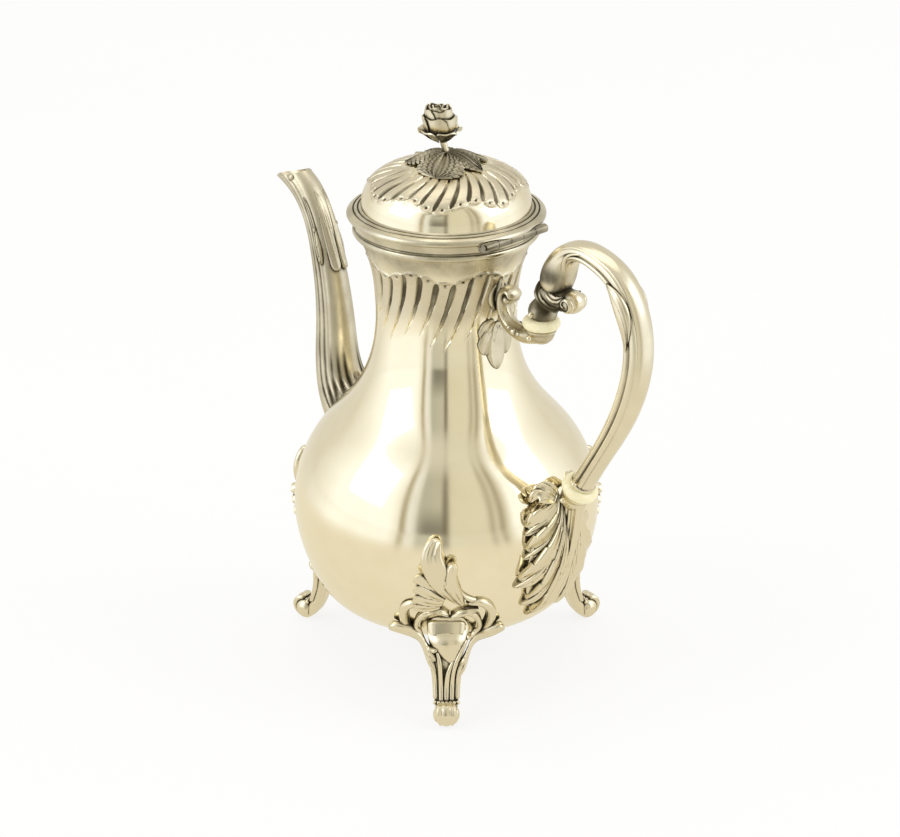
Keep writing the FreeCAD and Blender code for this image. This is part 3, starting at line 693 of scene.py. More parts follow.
def stroke(surface, path, widths, rises, caps=(0.08, 0.08), vein=0.0, ribs=0, rib=0.0, dish=0.0, sunk=0.7,
           notch=0.0, notches=0, rows=28, columns=18):
    """Closed, tapered relief along a path on a surface: a leaf lobe, a scroll or a band.

    Path points are sideways place, height and, if given, a lift; widths are half widths. vein cuts a
    midrib, ribs and rib fold the face, dish hollows it, sunk is its depth below the surface, and notch and
    notches saw the edge.
    """
    middle = smooth_path(path)
    width_at = eased(widths)
    rise_at = eased(rises)

    def place(across, along):
        spot = middle(along)
        ahead = heading(middle, along, 0.02)
        above_share = across / UPPER_FACE
        below_share = (across - UPPER_FACE) / (1 - UPPER_FACE)
        turn = np.where(across < UPPER_FACE, above_share, 1 + below_share) * math.pi
        reach = -np.cos(turn)
        above = np.sin(turn)
        taper = rounded_ends(along, caps)
        width = np.maximum(width_at(along), 0.05) * taper
        if notches:
            width = width * (1 - notch * (along * notches % 1.0))
        crest = rise_at(along) * np.abs(above) ** 0.7
        crest = crest - dish * (1 - reach ** 2) ** 2 - vein * np.exp(-(reach / 0.14) ** 2)
        if ribs:
            crest = crest + rib * np.cos(math.pi * ribs * reach) * np.abs(above)
        lift = np.where(above >= 0, crest, -sunk * np.abs(above)) * np.minimum(1, 1.3 * taper)
        if spot.shape[1] > 2:
            lift = lift + spot[:, 2]
        out = reach * width
        return surface(spot[:, 0] - ahead[:, 1] * out, spot[:, 1] + ahead[:, 0] * out, lift)

    return weld(sheet("relief", columns, rows, place))


def swept(spots, relief=None, boxy=1.0, caps=(0.001, 0.001), rows=60, columns=40):
    """Closed tube through spots of (x, z, half depth across the bend, half side along Y).

    relief(turn, along) adds to both half sizes; turn 0 is the left of the path.
    """
    middle = smooth_path(spots, 2)

    def place(across, along):
        spot = middle(along)
        ahead = heading(middle, along)
        turn = 2 * math.pi * across
        deep = np.sign(np.cos(turn)) * np.abs(np.cos(turn)) ** boxy
        aside = np.sign(np.sin(turn)) * np.abs(np.sin(turn)) ** boxy
        extra = relief(turn, along) if relief else 0.0
        taper = rounded_ends(along, caps)
        deep = deep * (spot[:, 2] + extra) * taper
        aside = aside * (spot[:, 3] + extra) * taper
        return spot[:, 0] - ahead[:, 1] * deep, aside, spot[:, 1] + ahead[:, 0] * deep

    return weld(sheet("tube", columns, rows, place))


def stations(path, depths, sides):
    """Stations of a tube from its path, half depths and half sides."""
    return [(*spot, depth, side) for spot, depth, side in zip(path, depths, sides)]


def ball(centre, radii, segments=28):
    """Rounded boss: a sphere drawn out to three half sizes."""
    deselect()
    bpy.ops.mesh.primitive_uv_sphere_add(segments=segments, ring_count=segments // 2, radius=MM,
                                         location=[c * MM for c in centre])
    piece = bpy.context.object
    bpy.ops.transform.resize(value=radii)
    settle()
    return piece


def tilted(piece, centre, slope):
    """Lean a piece made upright at the origin to a slope in the XZ plane, and put it in its place."""
    pick(piece)
    piece.rotation_euler = (0, math.radians(90 - slope), 0)
    piece.location = [c * MM for c in centre]
    settle()
    return piece


# Mouldings of the mouth and of the lid, as radius, height and rounding of each corner
RIM_OUTLINE = (
    (37.6, 204.5, 0), (38.5, 204.3, 0), (39.4, 204.6, 0.5), (40.2, 204.9, 0.2), (40.4, 205.6, 0.15),
    (41.0, 205.8, 0.3), (41.6, 206.7, 0.6), (41.5, 208.0, 0.6), (40.6, 208.6, 0.25), (40.6, 209.2, 0.2),
    (41.0, 209.6, 0.4), (41.3, 211.0, 0.8), (41.7, 212.2, 0.5), (42.0, 212.9, 0.25), (41.6, 213.0, 0.15),
    (37.6, 213.0, 0.3),
)
FLANGE_OUTLINE = (
    (35.6, 213.3, 0.1), (43.2, 213.3, 0.3), (43.9, 213.9, 0.5), (44.2, 214.9, 0.7), (43.6, 216.0, 0.8),
    (42.2, 216.8, 0.5), (41.4, 216.9, 0.2), (41.1, 216.4, 0.1), (40.8, 216.9, 0.2), (40.2, 217.5, 0.4),
    (39.4, 217.5, 0.3), (39.05, 217.0, 0.12), (38.7, 217.5, 0.2), (37.9, 218.1, 0.1), (35.6, 218.0, 0.1),
)
BEZEL_OUTLINE = (
    (35.6, 213.3, 0), (36.8, 213.3, 0), (36.8, 208.2, 0.4), (36.5, 207.7, 0.2), (35.9, 207.7, 0.2),
    (35.6, 208.2, 0.2),
)


# Room in the mouldings for the hinge: place of the pin, radius and length
HINGE_PIN = (42.0, 0, 213.15)
HINGE_RADIUS = 2.3
HINGE_LENGTH = 38.3


def cut_for_hinge(piece):
    """Cut the room of the hinge's knuckles out of a moulding."""
    deselect()
    bpy.ops.mesh.primitive_cylinder_add(vertices=48, radius=HINGE_RADIUS * MM, depth=HINGE_LENGTH * MM,
                                        location=[c * MM for c in HINGE_PIN], rotation=(math.pi / 2, 0, 0))
    tool = bpy.context.object
    pick(piece)
    cut = piece.modifiers.new("hinge_room", "BOOLEAN")
    cut.object = tool
    cut.operation = "DIFFERENCE"
    bpy.ops.object.modifier_apply(modifier=cut.name)
    bpy.data.objects.remove(tool)
    return piece


def mouldings():
    """Rim of the mouth, flange and bezel of the lid."""
    for name, node, body, outline in (
        ("mouth_moulding", "mouth_rim", "pot", RIM_OUTLINE),
        ("lid_moulding", "lid_flange", "lid", FLANGE_OUTLINE),
        ("lid_collar", "lid_bezel", "lid", BEZEL_OUTLINE),
    ):
        ring = turned_ring(name, rounded(outline, 5))
        if node != "lid_bezel":
            cut_for_hinge(ring)
        dress(ring, body, "polished_silver", node, hollows=2.0, beside_body=False, tarnish=0.5)


# Handle rings: places of their middles, slopes of their axes, radius, half thickness and rounding of the rim
UPPER_RING = (58.4, 0, 178.4)
UPPER_SLOPE = 90.0
LOWER_RING = (82.5, 0, 107.5)
LOWER_SLOPE = 58.0
RING_RADIUS = 8.4
RING_HALF = 2.7
RING_ROUND = 2.4
# Lower half of a ring's outline up to its rim: tenon, its shoulder and the ring's face
RING_OUTLINE = (
    (0.01, -7.2), (3.3, -7.2), (3.4, -7.1), (3.4, -2.72), (5.0, -RING_HALF),
    (RING_RADIUS - RING_ROUND, -2.68),
)


def beside_ring(middle, slope, way):
    """Place on the axis of a ring, a way up from its middle."""
    lean = math.radians(slope)
    return middle[0] + way * math.cos(lean), 0, middle[2] + way * math.sin(lean)


def ivory_rings():
    """Cream rings, rounded like a quoit, each with a tenon on both faces."""
    outline = list(RING_OUTLINE)
    for turn in np.radians(np.linspace(-86, 86, 17)):
        outline.append((RING_RADIUS - RING_ROUND + RING_ROUND * math.cos(turn), 2.62 * math.sin(turn)))
    outline += [(radius, -height) for radius, height in reversed(RING_OUTLINE)]
    for name, node, centre, slope in (
        ("upper_ring", "upper_insulator", UPPER_RING, UPPER_SLOPE),
        ("lower_ring", "lower_insulator", LOWER_RING, LOWER_SLOPE),
    ):
        ring = tilted(turned_ring(name, outline, 72), centre, slope)
        dress(ring, "pot", "ivory", node, hollows=2.0, beside_body=False)


# Handle: path from the knuckle over the arch and down to the lower ring, with half depth and half side
HANDLE_PATH = (
    (64.4, 193.0), (66.2, 197.6), (68.4, 203.6), (72.2, 211.2), (80.5, 217.0), (92.3, 216.0),
    (104.8, 209.2), (112.8, 195.9), (115.33, 181.0), (112.9, 164.0), (104.8, 143.8), (93.0, 124.0),
    (83.93, 109.79),
)
HANDLE_DEPTHS = (4.6, 6.5, 7.2, 5.9, 4.4, 4.6, 5.2, 5.7, 5.85, 5.7, 5.2, 4.6, 5.0)
HANDLE_SIDES = (5.0, 6.5, 7.4, 7.0, 6.6, 6.6, 6.6, 6.6, 6.6, 6.6, 6.2, 5.6, 5.4)
HANDLE_LENGTH = 168.0
# Lengthwise grooves: angle from the outer face, depth and half width in degrees
HANDLE_GROOVES = ((92.0, 0.85, 4.5), (57.0, 0.3, 3.5), (124.0, 0.45, 4.0))
KNUCKLE_SHARE = 0.17
# Core of the volute as tube stations, and the leaves on its flanks as places along X and Z and a half width
VOLUTE_CORE = (
    (62.6, 197.0, 5.6, 6.2), (66.6, 194.0, 5.6, 6.4), (71.8, 192.6, 5.2, 6.2), (77.2, 192.9, 4.9, 5.6),
)
VOLUTE_LEAVES = (
    (((61.8, 200.6), (61.4, 194.6), (64.6, 190.2), (70.0, 188.8), (74.6, 190.6)), 2.5),
    (((66.6, 201.6), (66.4, 197.2), (69.6, 194.4), (73.8, 194.6), (76.4, 196.6)), 2.1),
)
# Ball in the volute: middle and half sizes
VOLUTE_EYE = (77.0, 0, 192.8)
VOLUTE_SIZE = (5.0, 6.0, 5.0)
# Stub over the upper ring and end collar over the lower one, as turned outlines, and the slope of the stub
STUB_OUTLINE = [
    (0.01, 0.0), (5.3, 0.0), (6.1, 0.8), (6.5, 2.4), (6.4, 4.2), (5.7, 6.0), (4.8, 7.4), (4.5, 9.0),
    (4.8, 11.0), (0.01, 12.6),
]
STUB_SLOPE = 74.0
END_OUTLINE = [(0.01, 0.0), (5.4, 0.0), (5.9, 0.5), (5.9, 1.3), (5.4, 2.0), (0.01, 2.6)]
# Girth that turns sideways places on the handle into angles, and leaves under its arch as lean and reach
HANDLE_GIRTH = 6.2
ARCH_LEAVES = ((-3.6, 12.0), (-0.6, 20.0), (2.4, 22.0), (5.0, 16.0))
handle_path = smooth_path(stations(HANDLE_PATH, HANDLE_DEPTHS, HANDLE_SIDES), 2)


def handle_relief(turn, along):
    """Lengthwise mouldings of the handle, fading out at the knuckle."""
    angle = np.degrees(np.arccos(np.cos(turn)))
    cut = 0.0
    for centre, deep, half in HANDLE_GROOVES:
        cut = cut + deep * np.exp(-((angle - centre) / half) ** 2)
    swell = 0.3 * np.exp(-((angle - 108) / 9.0) ** 2) + 0.25 * np.exp(-(angle / 14.0) ** 2)
    return (swell - cut) * smoothstep(KNUCKLE_SHARE - 0.07, KNUCKLE_SHARE + 0.03, along)


def on_handle(centre_turn, centre_along):
    """Surface of the handle round a place: sideways and lengthwise places and lift to a point."""
    def surface(side, way, lift):
        along = np.clip(centre_along + way / HANDLE_LENGTH, 0, 1)
        spot = handle_path(along)
        ahead = heading(handle_path, along)
        turn = centre_turn + side / HANDLE_GIRTH
        deep = (spot[:, 2] + lift) * np.cos(turn)
        aside = (spot[:, 3] + lift) * np.sin(turn)
        return spot[:, 0] - ahead[:, 1] * deep, aside, spot[:, 1] + ahead[:, 0] * deep

    return surface


def on_flank(side):
    """Flank of the handle's volute: places along X and Z, and lift outwards."""
    def surface(x, z, lift):
        return x, side * (5.7 - 0.05 * (z - 193.5) ** 2 + lift), z

    return surface


def on_eye(side):
    """Flank of the ball in the volute: places along X and Z, and lift outwards."""
    def surface(x, z, lift):
        far = ((x - VOLUTE_EYE[0]) ** 2 + (z - VOLUTE_EYE[2]) ** 2) / VOLUTE_SIZE[0] ** 2
        return x, side * (VOLUTE_SIZE[1] * np.sqrt(np.clip(1 - far, 0.02, 1)) + lift), z

    return surface


def handle_tarnish(points):
    """Even tarnish on the handle, heavy on the knuckle and stub."""
    x, y, z = points.T
    knuckle = (1 - smoothstep(71.0, 82.0, x)) * (1 - smoothstep(203.0, 214.0, z))
    rubbed = smoothstep(6.0, 6.8, np.abs(y)) * (1 - smoothstep(199.0, 202.0, z))
    return 0.26 + 0.54 * knuckle * (0.6 + 0.4 * smoothstep(0.0, 5.0, np.abs(y))) * (1 - 0.8 * rubbed)


def handle():
    """C-scroll handle: moulded grip, leafy knuckle with a curled volute, and a stub over the upper ring."""
    grip = stations(HANDLE_PATH, HANDLE_DEPTHS, HANDLE_SIDES)
    parts = [swept(grip, handle_relief, boxy=0.84, caps=(0.035, 0.001), rows=190, columns=120)]
    seat = beside_ring(UPPER_RING, UPPER_SLOPE, RING_HALF)
    parts.append(tilted(turned_ring("stub", STUB_OUTLINE, 48), seat, STUB_SLOPE))
    end_x, end_z = HANDLE_PATH[-1]
    parts.append(tilted(turned_ring("end", END_OUTLINE, 48), (end_x, 0, end_z), LOWER_SLOPE))
    parts.append(swept(VOLUTE_CORE, caps=(0.05, 0.3), rows=50, columns=40))
    parts.append(ball(VOLUTE_EYE, VOLUTE_SIZE))
    for side in (-1, 1):
        curl = []
        for step in range(8):
            turn = math.radians(205 + 62 * step)
            out = 4.3 - 0.48 * step
            curl.append((VOLUTE_EYE[0] + out * math.cos(turn), VOLUTE_EYE[2] + out * math.sin(turn)))
        parts.append(stroke(on_eye(side), curl, (0.9, 0.8, 0.7, 0.5), (0.9, 0.9, 0.8, 0.6), sunk=1.2,
                            caps=(0.04, 0.04), rows=70, columns=14))
        flank = on_flank(side)
        for path, width in VOLUTE_LEAVES:
            widths = (0.3 * width, 0.8 * width, width, 0.8 * width, 0.2)
            parts.append(stroke(flank, path, widths, (0.4, 1.0, 1.4, 1.3, 0.7), vein=0.6, dish=0.5,
                                sunk=2.4, notch=0.2, notches=4, caps=(0.1, 0.08), rows=44))
    for side in (-1, 1):
        sheath = on_handle(side * math.pi / 2, 0.1)
        fold = ((-6.2, -4.0), (-4.4, 5.0), (-1.0, 12.0), (1.6, 20.0))
        parts.append(stroke(sheath, fold, (0.4, 1.0, 0.9, 0.4), (0.2, 0.7, 0.7, 0.2)))
        inner = on_handle(side * 2.25, 0.40)
        for lean, reach in ARCH_LEAVES:
            leaf = ((lean * 0.4, -13.0), (lean * 0.9, -6.0), (lean * 1.1, 0.4 * reach), (lean * 0.8, reach))
            parts.append(stroke(inner, leaf, (0.8, 2.2, 2.0, 0.3), (0.8, 2.4, 1.8, 0.3), vein=0.6,
                                dish=0.4))
    piece = joined("scroll_handle", parts)
    return dress(piece, "pot", "polished_silver", "handle", hollows=3.0, beside_body=False,
                 tarnish=handle_tarnish, satin=0.35)


# Upper socket: S-scroll from its curled eye by the neck down and out to the ring
SCROLL_PATH = (
    (42.2, 184.5), (41.8, 187.0), (39.2, 188.4), (36.5, 186.8), (35.2, 182.6), (35.7, 177.8), (38.6, 173.6),
    (44.4, 171.0), (51.2, 170.8), (56.8, 173.0),
)
SCROLL_DEPTHS = (1.4, 1.7, 2.0, 2.2, 2.4, 2.6, 2.9, 3.2, 3.8, 4.6)
SCROLL_SIDES = (4.6, 4.4, 4.2, 4.0, 3.8, 3.6, 3.7, 4.2, 4.8, 5.2)
# Cup under the upper ring as a turned outline, and the beads on the scroll's flanks as places and sizes
UPPER_CUP = [
    (0.01, 0.0), (6.0, 0.0), (6.6, -0.4), (6.6, -1.1), (6.0, -1.7), (5.8, -3.0), (5.0, -4.8), (3.4, -6.2),
    (0.01, -6.8),
]
SCROLL_BEADS = ((45.2, 4.3, 171.6, 1.5), (48.6, 4.6, 171.4, 1.0), (42.2, 3.9, 172.6, 1.0))
# Lobes of the leaf on the neck: path and half width
NECK_LOBES = (
    (((0.0, 172.0), (-0.8, 164.0), (-1.4, 156.0), (-1.8, 150.0)), 5.4),
    (((-1.6, 171.0), (-4.4, 167.0), (-6.6, 162.4), (-7.4, 157.4)), 4.2),
    (((1.6, 171.0), (4.0, 166.6), (5.2, 161.0), (4.8, 155.4)), 4.4),
    (((-2.0, 172.6), (-5.0, 171.4), (-7.4, 168.4), (-8.6, 164.8)), 3.0),
    (((2.0, 172.6), (5.2, 170.6), (7.4, 166.6), (8.0, 161.8)), 3.4),
)


def upper_socket():
    """S-scroll bracket with a curled eye, a lobed leaf on the neck and a cup under the ring."""
    def reeds(turn, along):
        return 0.32 * np.cos(5 * turn) * smoothstep(0.3, 0.5, along) * (1 - smoothstep(0.8, 0.95, along))

    scroll = stations(SCROLL_PATH, SCROLL_DEPTHS, SCROLL_SIDES)
    parts = [swept(scroll, reeds, caps=(0.06, 0.02), rows=80, columns=40)]
    parts.append(ball((40.2, 0, 184.8), (2.5, 5.0, 2.5), 24))
    seat = beside_ring(UPPER_RING, UPPER_SLOPE, -RING_HALF)
    parts.append(tilted(turned_ring("cup", UPPER_CUP, 56), seat, UPPER_SLOPE))
    surface = on_body()
    for path, width in NECK_LOBES:
        widths = (0.5 * width, 0.9 * width, width, 0.4 * width)
        parts.append(stroke(surface, path, widths, (1.6, 1.9, 1.8, 1.0), vein=0.5, dish=0.6, ribs=3,
                            rib=0.1, notch=0.1, notches=3, caps=(0.08, 0.14), rows=36, columns=24))
    for side in (-1, 1):
        frond = ((side * 1.0, 178.0), (side * 3.6, 181.0), (side * 4.6, 186.0), (side * 2.4, 190.0))
        parts.append(stroke(surface, frond, (1.2, 1.6, 1.3, 0.4), (1.6, 1.6, 1.2, 0.4)))
        for x, y, z, size in SCROLL_BEADS:
            parts.append(ball((x, side * y, z), (1.2 * size, 0.7 * size, size), 16))
    piece = joined("neck_bracket", parts)
    return dress(piece, "pot", "cast_silver", "upper_socket", hollows=3.0, tarnish=0.4)


# Lower socket: lobes of the acanthus as the tip's sideways place and height, and the half width
ACANTHUS = ((17.0, 89.0, 4.6), (17.8, 78.6, 5.2), (20.4, 65.0, 5.8), (14.2, 53.0, 4.8), (8.6, 44.4, 3.4))
# Sheet behind the lobes as sideways place, height and lift
ACANTHUS_WEB = ((5.0, 97.0, 3.6), (8.0, 86.0, 3.2), (9.0, 74.0, 2.6), (8.4, 62.0, 2.0), (4.6, 48.0, 1.2))
STALK_PATH = ((81.07, 105.2), (79.4, 98.6), (77.6, 88.0), (74.4, 73.0), (70.2, 58.0), (64.6, 46.0))
STALK_DEPTHS = (6.0, 5.2, 4.8, 4.2, 3.4, 1.4)
STALK_SIDES = (6.2, 4.2, 3.2, 2.8, 2.6, 1.5)
# Grooves along the stalk as angles from its outer face, buds under the ring as lean and rise, and the cup
STALK_GROOVES = (52.0, 74.0, 98.0)
BUDS = ((-2.6, 1.2), (0.0, 1.0), (2.4, -0.8))
LOWER_CUP = [
    (0.01, 0.0), (6.2, 0.0), (6.8, -0.4), (6.8, -1.3), (6.3, -1.9), (6.3, -3.0), (5.9, -5.2), (5.2, -7.0),
    (0.01, -7.4),
]


def bend_between(start, hold, end, share):
    """Place on the curve from start to end that is drawn towards hold."""
    start, hold, end = (np.array(spot, float) for spot in (start, hold, end))
    return tuple((1 - share) ** 2 * start + 2 * share * (1 - share) * hold + share ** 2 * end)


def acanthus_lobe(surface, side, share, tip, height, width):
    """One dished lobe: it leaves the stalk under the ring, sweeps down and out, and ends in a point."""
    root = (side * (3.8 - 2.2 * share), 99.5 - 4.0 * share, 9.8 - 0.6 * share)
    hold = (side * (0.3 * tip + 1.2), height + 5.0, 9.0 - 1.8 * share)
    end = (side * tip, height, 1.6)
    path = [bend_between(root, hold, end, step) for step in (0.0, 0.3, 0.55, 0.78, 1.0)]
    edge = []
    for x, z, lift in path[1:]:
        edge.append((x + 0.22 * side * width, z - 0.8 * width, max(lift - 1.2, 0.4)))
    widths = (0.9, 1.8, 0.8 * width, width, 0.4 * width)
    face = stroke(surface, path, widths, (1.8, 2.4, 2.6, 2.6, 1.6), dish=1.7, sunk=4.0, notch=0.16,
                  notches=4, caps=(0.05, 0.1), rows=60, columns=30)
    widths = (0.6, 0.3 * width, 0.42 * width, 0.3)
    fold = stroke(surface, edge, widths, (1.0, 1.8, 1.9, 1.0), vein=0.4, dish=0.5, sunk=3.0,
                  caps=(0.08, 0.06), rows=36, columns=20)
    return [face, fold]


def lower_socket():
    """Acanthus socket: fanned lobes on the belly that gather into a stalk under the lower ring."""
    surface = on_body()

    def reeds(turn, along):
        angle = np.degrees(np.arccos(np.cos(turn)))
        cuts = 0.0
        for centre in STALK_GROOVES:
            cuts = cuts + np.exp(-((angle - centre) / 6.0) ** 2)
        return -0.8 * cuts * smoothstep(0.0, 0.15, along) * (1 - smoothstep(0.93, 0.99, along))

    stalk = stations(STALK_PATH, STALK_DEPTHS, STALK_SIDES)
    parts = [swept(stalk, reeds, boxy=0.92, caps=(0.002, 0.05), rows=80, columns=72)]
    for side in (-1, 1):
        web = [(side * aside, height, lift) for aside, height, lift in ACANTHUS_WEB]
        parts.append(stroke(surface, web, (4.0, 7.0, 8.2, 7.8, 3.4), (1.2, 1.2, 1.2, 1.0), sunk=4.0,
                            rows=40, columns=24))
        for rank, (tip, height, width) in enumerate(ACANTHUS):
            parts += acanthus_lobe(surface, side, rank / (len(ACANTHUS) - 1), tip, height, width)
        for lean, rise in BUDS:
            bud = ((side * 4.4, 97.0, 8.6), (side * (7.2 + 0.8 * lean), 100.0 + rise, 8.4),
                   (side * (9.6 + lean), 101.6 + rise, 6.6), (side * (11.6 + 0.9 * lean), 99.6 + rise, 3.6))
            parts.append(stroke(surface, bud, (1.0, 2.0, 2.4, 0.7), (1.5, 1.9, 1.6, 0.7), vein=0.6, ribs=3,
                                rib=0.2, sunk=2.0, dish=0.4, caps=(0.08, 0.08), rows=30, columns=20))
    seat = beside_ring(LOWER_RING, LOWER_SLOPE, -RING_HALF)
    parts.append(tilted(turned_ring("cup", LOWER_CUP, 56), seat, LOWER_SLOPE))
    return dress(joined("acanthus_socket", parts), "pot", "cast_silver", "lower_socket", hollows=3.4)


# Spout stations: reach from the axis, height, slope, half depth and half side; plane of the beak's mouth
SPOUT_STATIONS = (
    (50.0, 101.0, 14.0, 23.0, 17.0), (66.0, 112.0, 60.0, 13.0, 12.5), (70.6, 124.0, 84.0, 10.4, 10.6),
    (72.0, 140.0, 86.0, 9.2, 9.2), (73.6, 157.0, 81.0, 8.2, 8.2), (77.4, 176.0, 76.0, 7.4, 7.4),
    (82.6, 192.0, 66.0, 7.0, 7.0), (91.0, 204.0, 45.0, 6.9, 6.8), (100.0, 209.6, 26.0, 6.6, 6.2),
    (108.0, 212.4, 18.0, 6.4, 5.2),
)
LIP_TIP = np.array((109.4, 205.6))
LIP_BACK = np.array((88.5, 213.0))
SPOUT_LENGTH = 136.0
SPOUT_GIRTH = 7.6
# Depth of the root below the body's surface, and marks along the spout that its ends are found at
ROOT_SUNK = 0.5
SPOUT_MARKS = 900
# Flutes of the root's fan and ridges of the sides, as angles from the outer face; ridges with a depth
FAN_FLUTES = (84.0, 102.0, 120.0, 138.0, 156.0, 174.0)
SPOUT_RIDGES = ((62.0, 0.4), (80.0, 0.45), (100.0, 0.4), (116.0, 0.2))
# Leaves at the root as the lean and height of their tips; side leaves as sideways place and way along; and
# grains on the slim ones as way along and size
ROOT_LEAVES = ((0.0, 84.0), (-5.4, 87.6), (5.4, 87.6), (-9.6, 93.0), (9.6, 93.0))
SPOUT_LEAF = ((2.8, 112.0), (3.0, 104.0), (3.0, 95.0), (2.6, 86.0), (2.2, 77.0))
SLIM_LEAF = ((9.2, 112.0), (9.4, 104.0), (9.4, 96.0), (9.2, 88.0), (8.6, 80.6))
SPOUT_GRAINS = ((97.0, 0.8), (90.0, 1.0), (83.6, 1.1))
spout_path = smooth_path(SPOUT_STATIONS, 2)


def spout_point(turn, share, lift):
    """Point of the spout's outside: turn 0 faces the pot, half a turn faces away from it."""
    spot = spout_path(share)
    slope = np.radians(spot[:, 2])
    deep = (spot[:, 3] + lift) * np.cos(turn)
    reach = spot[:, 0] - np.sin(slope) * deep
    return -reach, (spot[:, 4] + lift) * np.sin(turn), spot[:, 1] + np.cos(slope) * deep


def spout_ends(turns):
    """Shares at which each line along the spout leaves the body and meets the beak's mouth."""
    shares = np.linspace(0, 1, SPOUT_MARKS)
    along = (LIP_TIP - LIP_BACK) / np.linalg.norm(LIP_TIP - LIP_BACK)
    starts, ends = [], []
    for turn in turns:
        x, y, z = spout_point(np.full(SPOUT_MARKS, turn), shares, np.zeros(SPOUT_MARKS))
        inside = (np.hypot(x, y) <= body_radius(z) - ROOT_SUNK) & (shares < 2 / 3)
        starts.append(shares[np.nonzero(inside)[0][-1]])
        above = along[0] * (z - LIP_BACK[1]) - along[1] * (-x - LIP_BACK[0])
        past = (above > 0) & (shares > 0.6)
        ends.append(shares[np.argmax(past)] if past.any() else 1.0)
    return np.array(starts), np.array(ends)


def fan_flutes(front, centres, half):
    """1 in the middle of the fan's flutes, falling to 0 beside them, over angles from the outer face."""
    flutes = np.zeros_like(front)
    for centre in centres:
        flutes = np.maximum(flutes, np.exp(-((front - centre) / half) ** 2))
    return flutes


def spout_relief(turn, share, start):
    """Ridges along the sides, a fan of short flutes on the root's pot side and a bead on the body."""
    front = np.abs(np.degrees(turn) - 180)
    way = (share - start) * SPOUT_LENGTH
    fan = smoothstep(0.6, 2.0, way) * (1 - smoothstep(9.0, 18.0, way))
    flutes = fan_flutes(front, FAN_FLUTES, 4.0)
    ridges = np.zeros_like(front)
    for centre, deep in SPOUT_RIDGES:
        ridges = ridges + deep * np.exp(-((front - centre) / 4.0) ** 2)
    fade = smoothstep(9.0, 20.0, way) * (1 - smoothstep(0.9, 0.98, share))
    return 0.45 * np.exp(-(way / 1.1) ** 2) - 1.0 * flutes * fan - ridges * fade


def spout_tarnish_and_shade(points):
    """Even tarnish on the spout, with painted shade in the flutes of its root and along the ridges."""
    x, y, z = points.T
    along = spout_path(np.linspace(0, 1, 200))
    along = along[np.argsort(along[:, 1])]
    reach, deep, side = (np.interp(z, along[:, 1], along[:, kind]) for kind in (0, 3, 4))
    front = np.degrees(np.arctan2(np.abs(y) / side, (-x - reach) / deep))
    flutes = fan_flutes(front, FAN_FLUTES[:-1], 4.5)
    grooves = np.exp(-((front - 80) / 3.5) ** 2) + np.exp(-((front - 100) / 3.5) ** 2)
    low = 1 - smoothstep(124.0, 138.0, z)
    # Even tarnish, plus painted shade in the root's flutes and the grooves of the ridges
    return 0.46 + 0.5 * flutes * low + 0.3 * grooves * (1 - low) * (1 - smoothstep(196.0, 206.0, z))


def on_spout(centre_turn):
    """Surface of the spout round a line along it: sideways place, way along and lift to a point."""
    def surface(side, way, lift):
        return spout_point(centre_turn + side / SPOUT_GIRTH, np.clip(way / SPOUT_LENGTH, 0, 1), lift)

    return surface


def spout():
    """Hollow spout with a fluted root, ridges, long side leaves and a slanting beak."""
    columns = 120
    shares = np.linspace(0, 1, columns + 1)
    starts, ends = spout_ends(2 * math.pi * shares)
    outer = 150
    inner = 40
    last = outer + inner + 1

    def place(across, along):
        row = np.round(along * last).astype(int)
        turn = 2 * math.pi * across
        start = np.interp(across, shares, starts)
        end = np.interp(across, shares, ends)
        outside = (row <= outer) | (row == last)
        step = np.where(row <= outer, row / outer, np.clip(1 - (row - outer - 1) / (inner - 1), 0, 1))
        step = np.where(row == last, 0.0, step)
        share = start + (end - start) * step
        lift = np.where(outside, spout_relief(turn, share, start), -1.0)
        return spout_point(turn, share, lift)

    parts = [weld(sheet("tube", columns, last, place))]
    edge = on_spout(0.0)
    for side in (-1, 1):
        leaf = [(side * aside, way) for aside, way in SPOUT_LEAF]
        parts.append(stroke(edge, leaf, (0.8, 2.0, 2.5, 2.6, 2.2), (0.1, 0.35, 0.5, 1.0, 2.0),
                            caps=(0.1, 0.1), vein=-0.4, rows=60, columns=30))
        slim = [(side * aside, way) for aside, way in SLIM_LEAF]
        parts.append(stroke(edge, slim, (0.4, 0.9, 1.1, 1.7, 0.5), (0.2, 0.4, 0.5, 1.2, 0.7),
                            caps=(0.1, 0.08), vein=0.4, rows=50))
        for way, size in SPOUT_GRAINS:
            spot = [float(c[0]) for c in edge(np.array([9.2 * side]), np.array([way]), np.array([0.4]))]
            parts.append(ball(spot, (0.8 * size, 0.7 * size, 1.5 * size), 16))
        parts.append(ball((-94.6, side * 5.5, 209.3), (1.9, 1.3, 1.6), 20))
    root = on_body(math.pi)
    for lean, tip in ROOT_LEAVES:
        leaf = ((lean * 0.2, 99.0, 1.0), (lean * 0.7, 0.45 * tip + 54.0, 1.4), (lean, tip, 0.4))
        parts.append(stroke(root, leaf, (1.2, 2.2, 0.5), (1.5, 1.7, 0.8), vein=0.6, rows=22))
    return dress(joined("spout_with_leaves", parts), "pot", "polished_silver", "spout", hollows=2.6,
                 tarnish=spout_tarnish_and_shade, satin=0.45)


# Half widths that strokes of a leg share: its outer scrolls, reeds, and wings with their edges
SCROLL_WIDTHS = (1.0, 2.0, 2.2, 1.9, 1.7, 1.6, 1.3, 1.1, 1.0)
REED_WIDTHS = (0.8, 1.2, 1.2, 1.1, 1.0)
WING_WIDTHS = (1.2, 2.2, 2.8, 1.8)
WING_EDGE_WIDTHS = (0.8, 1.2, 1.2, 0.6)
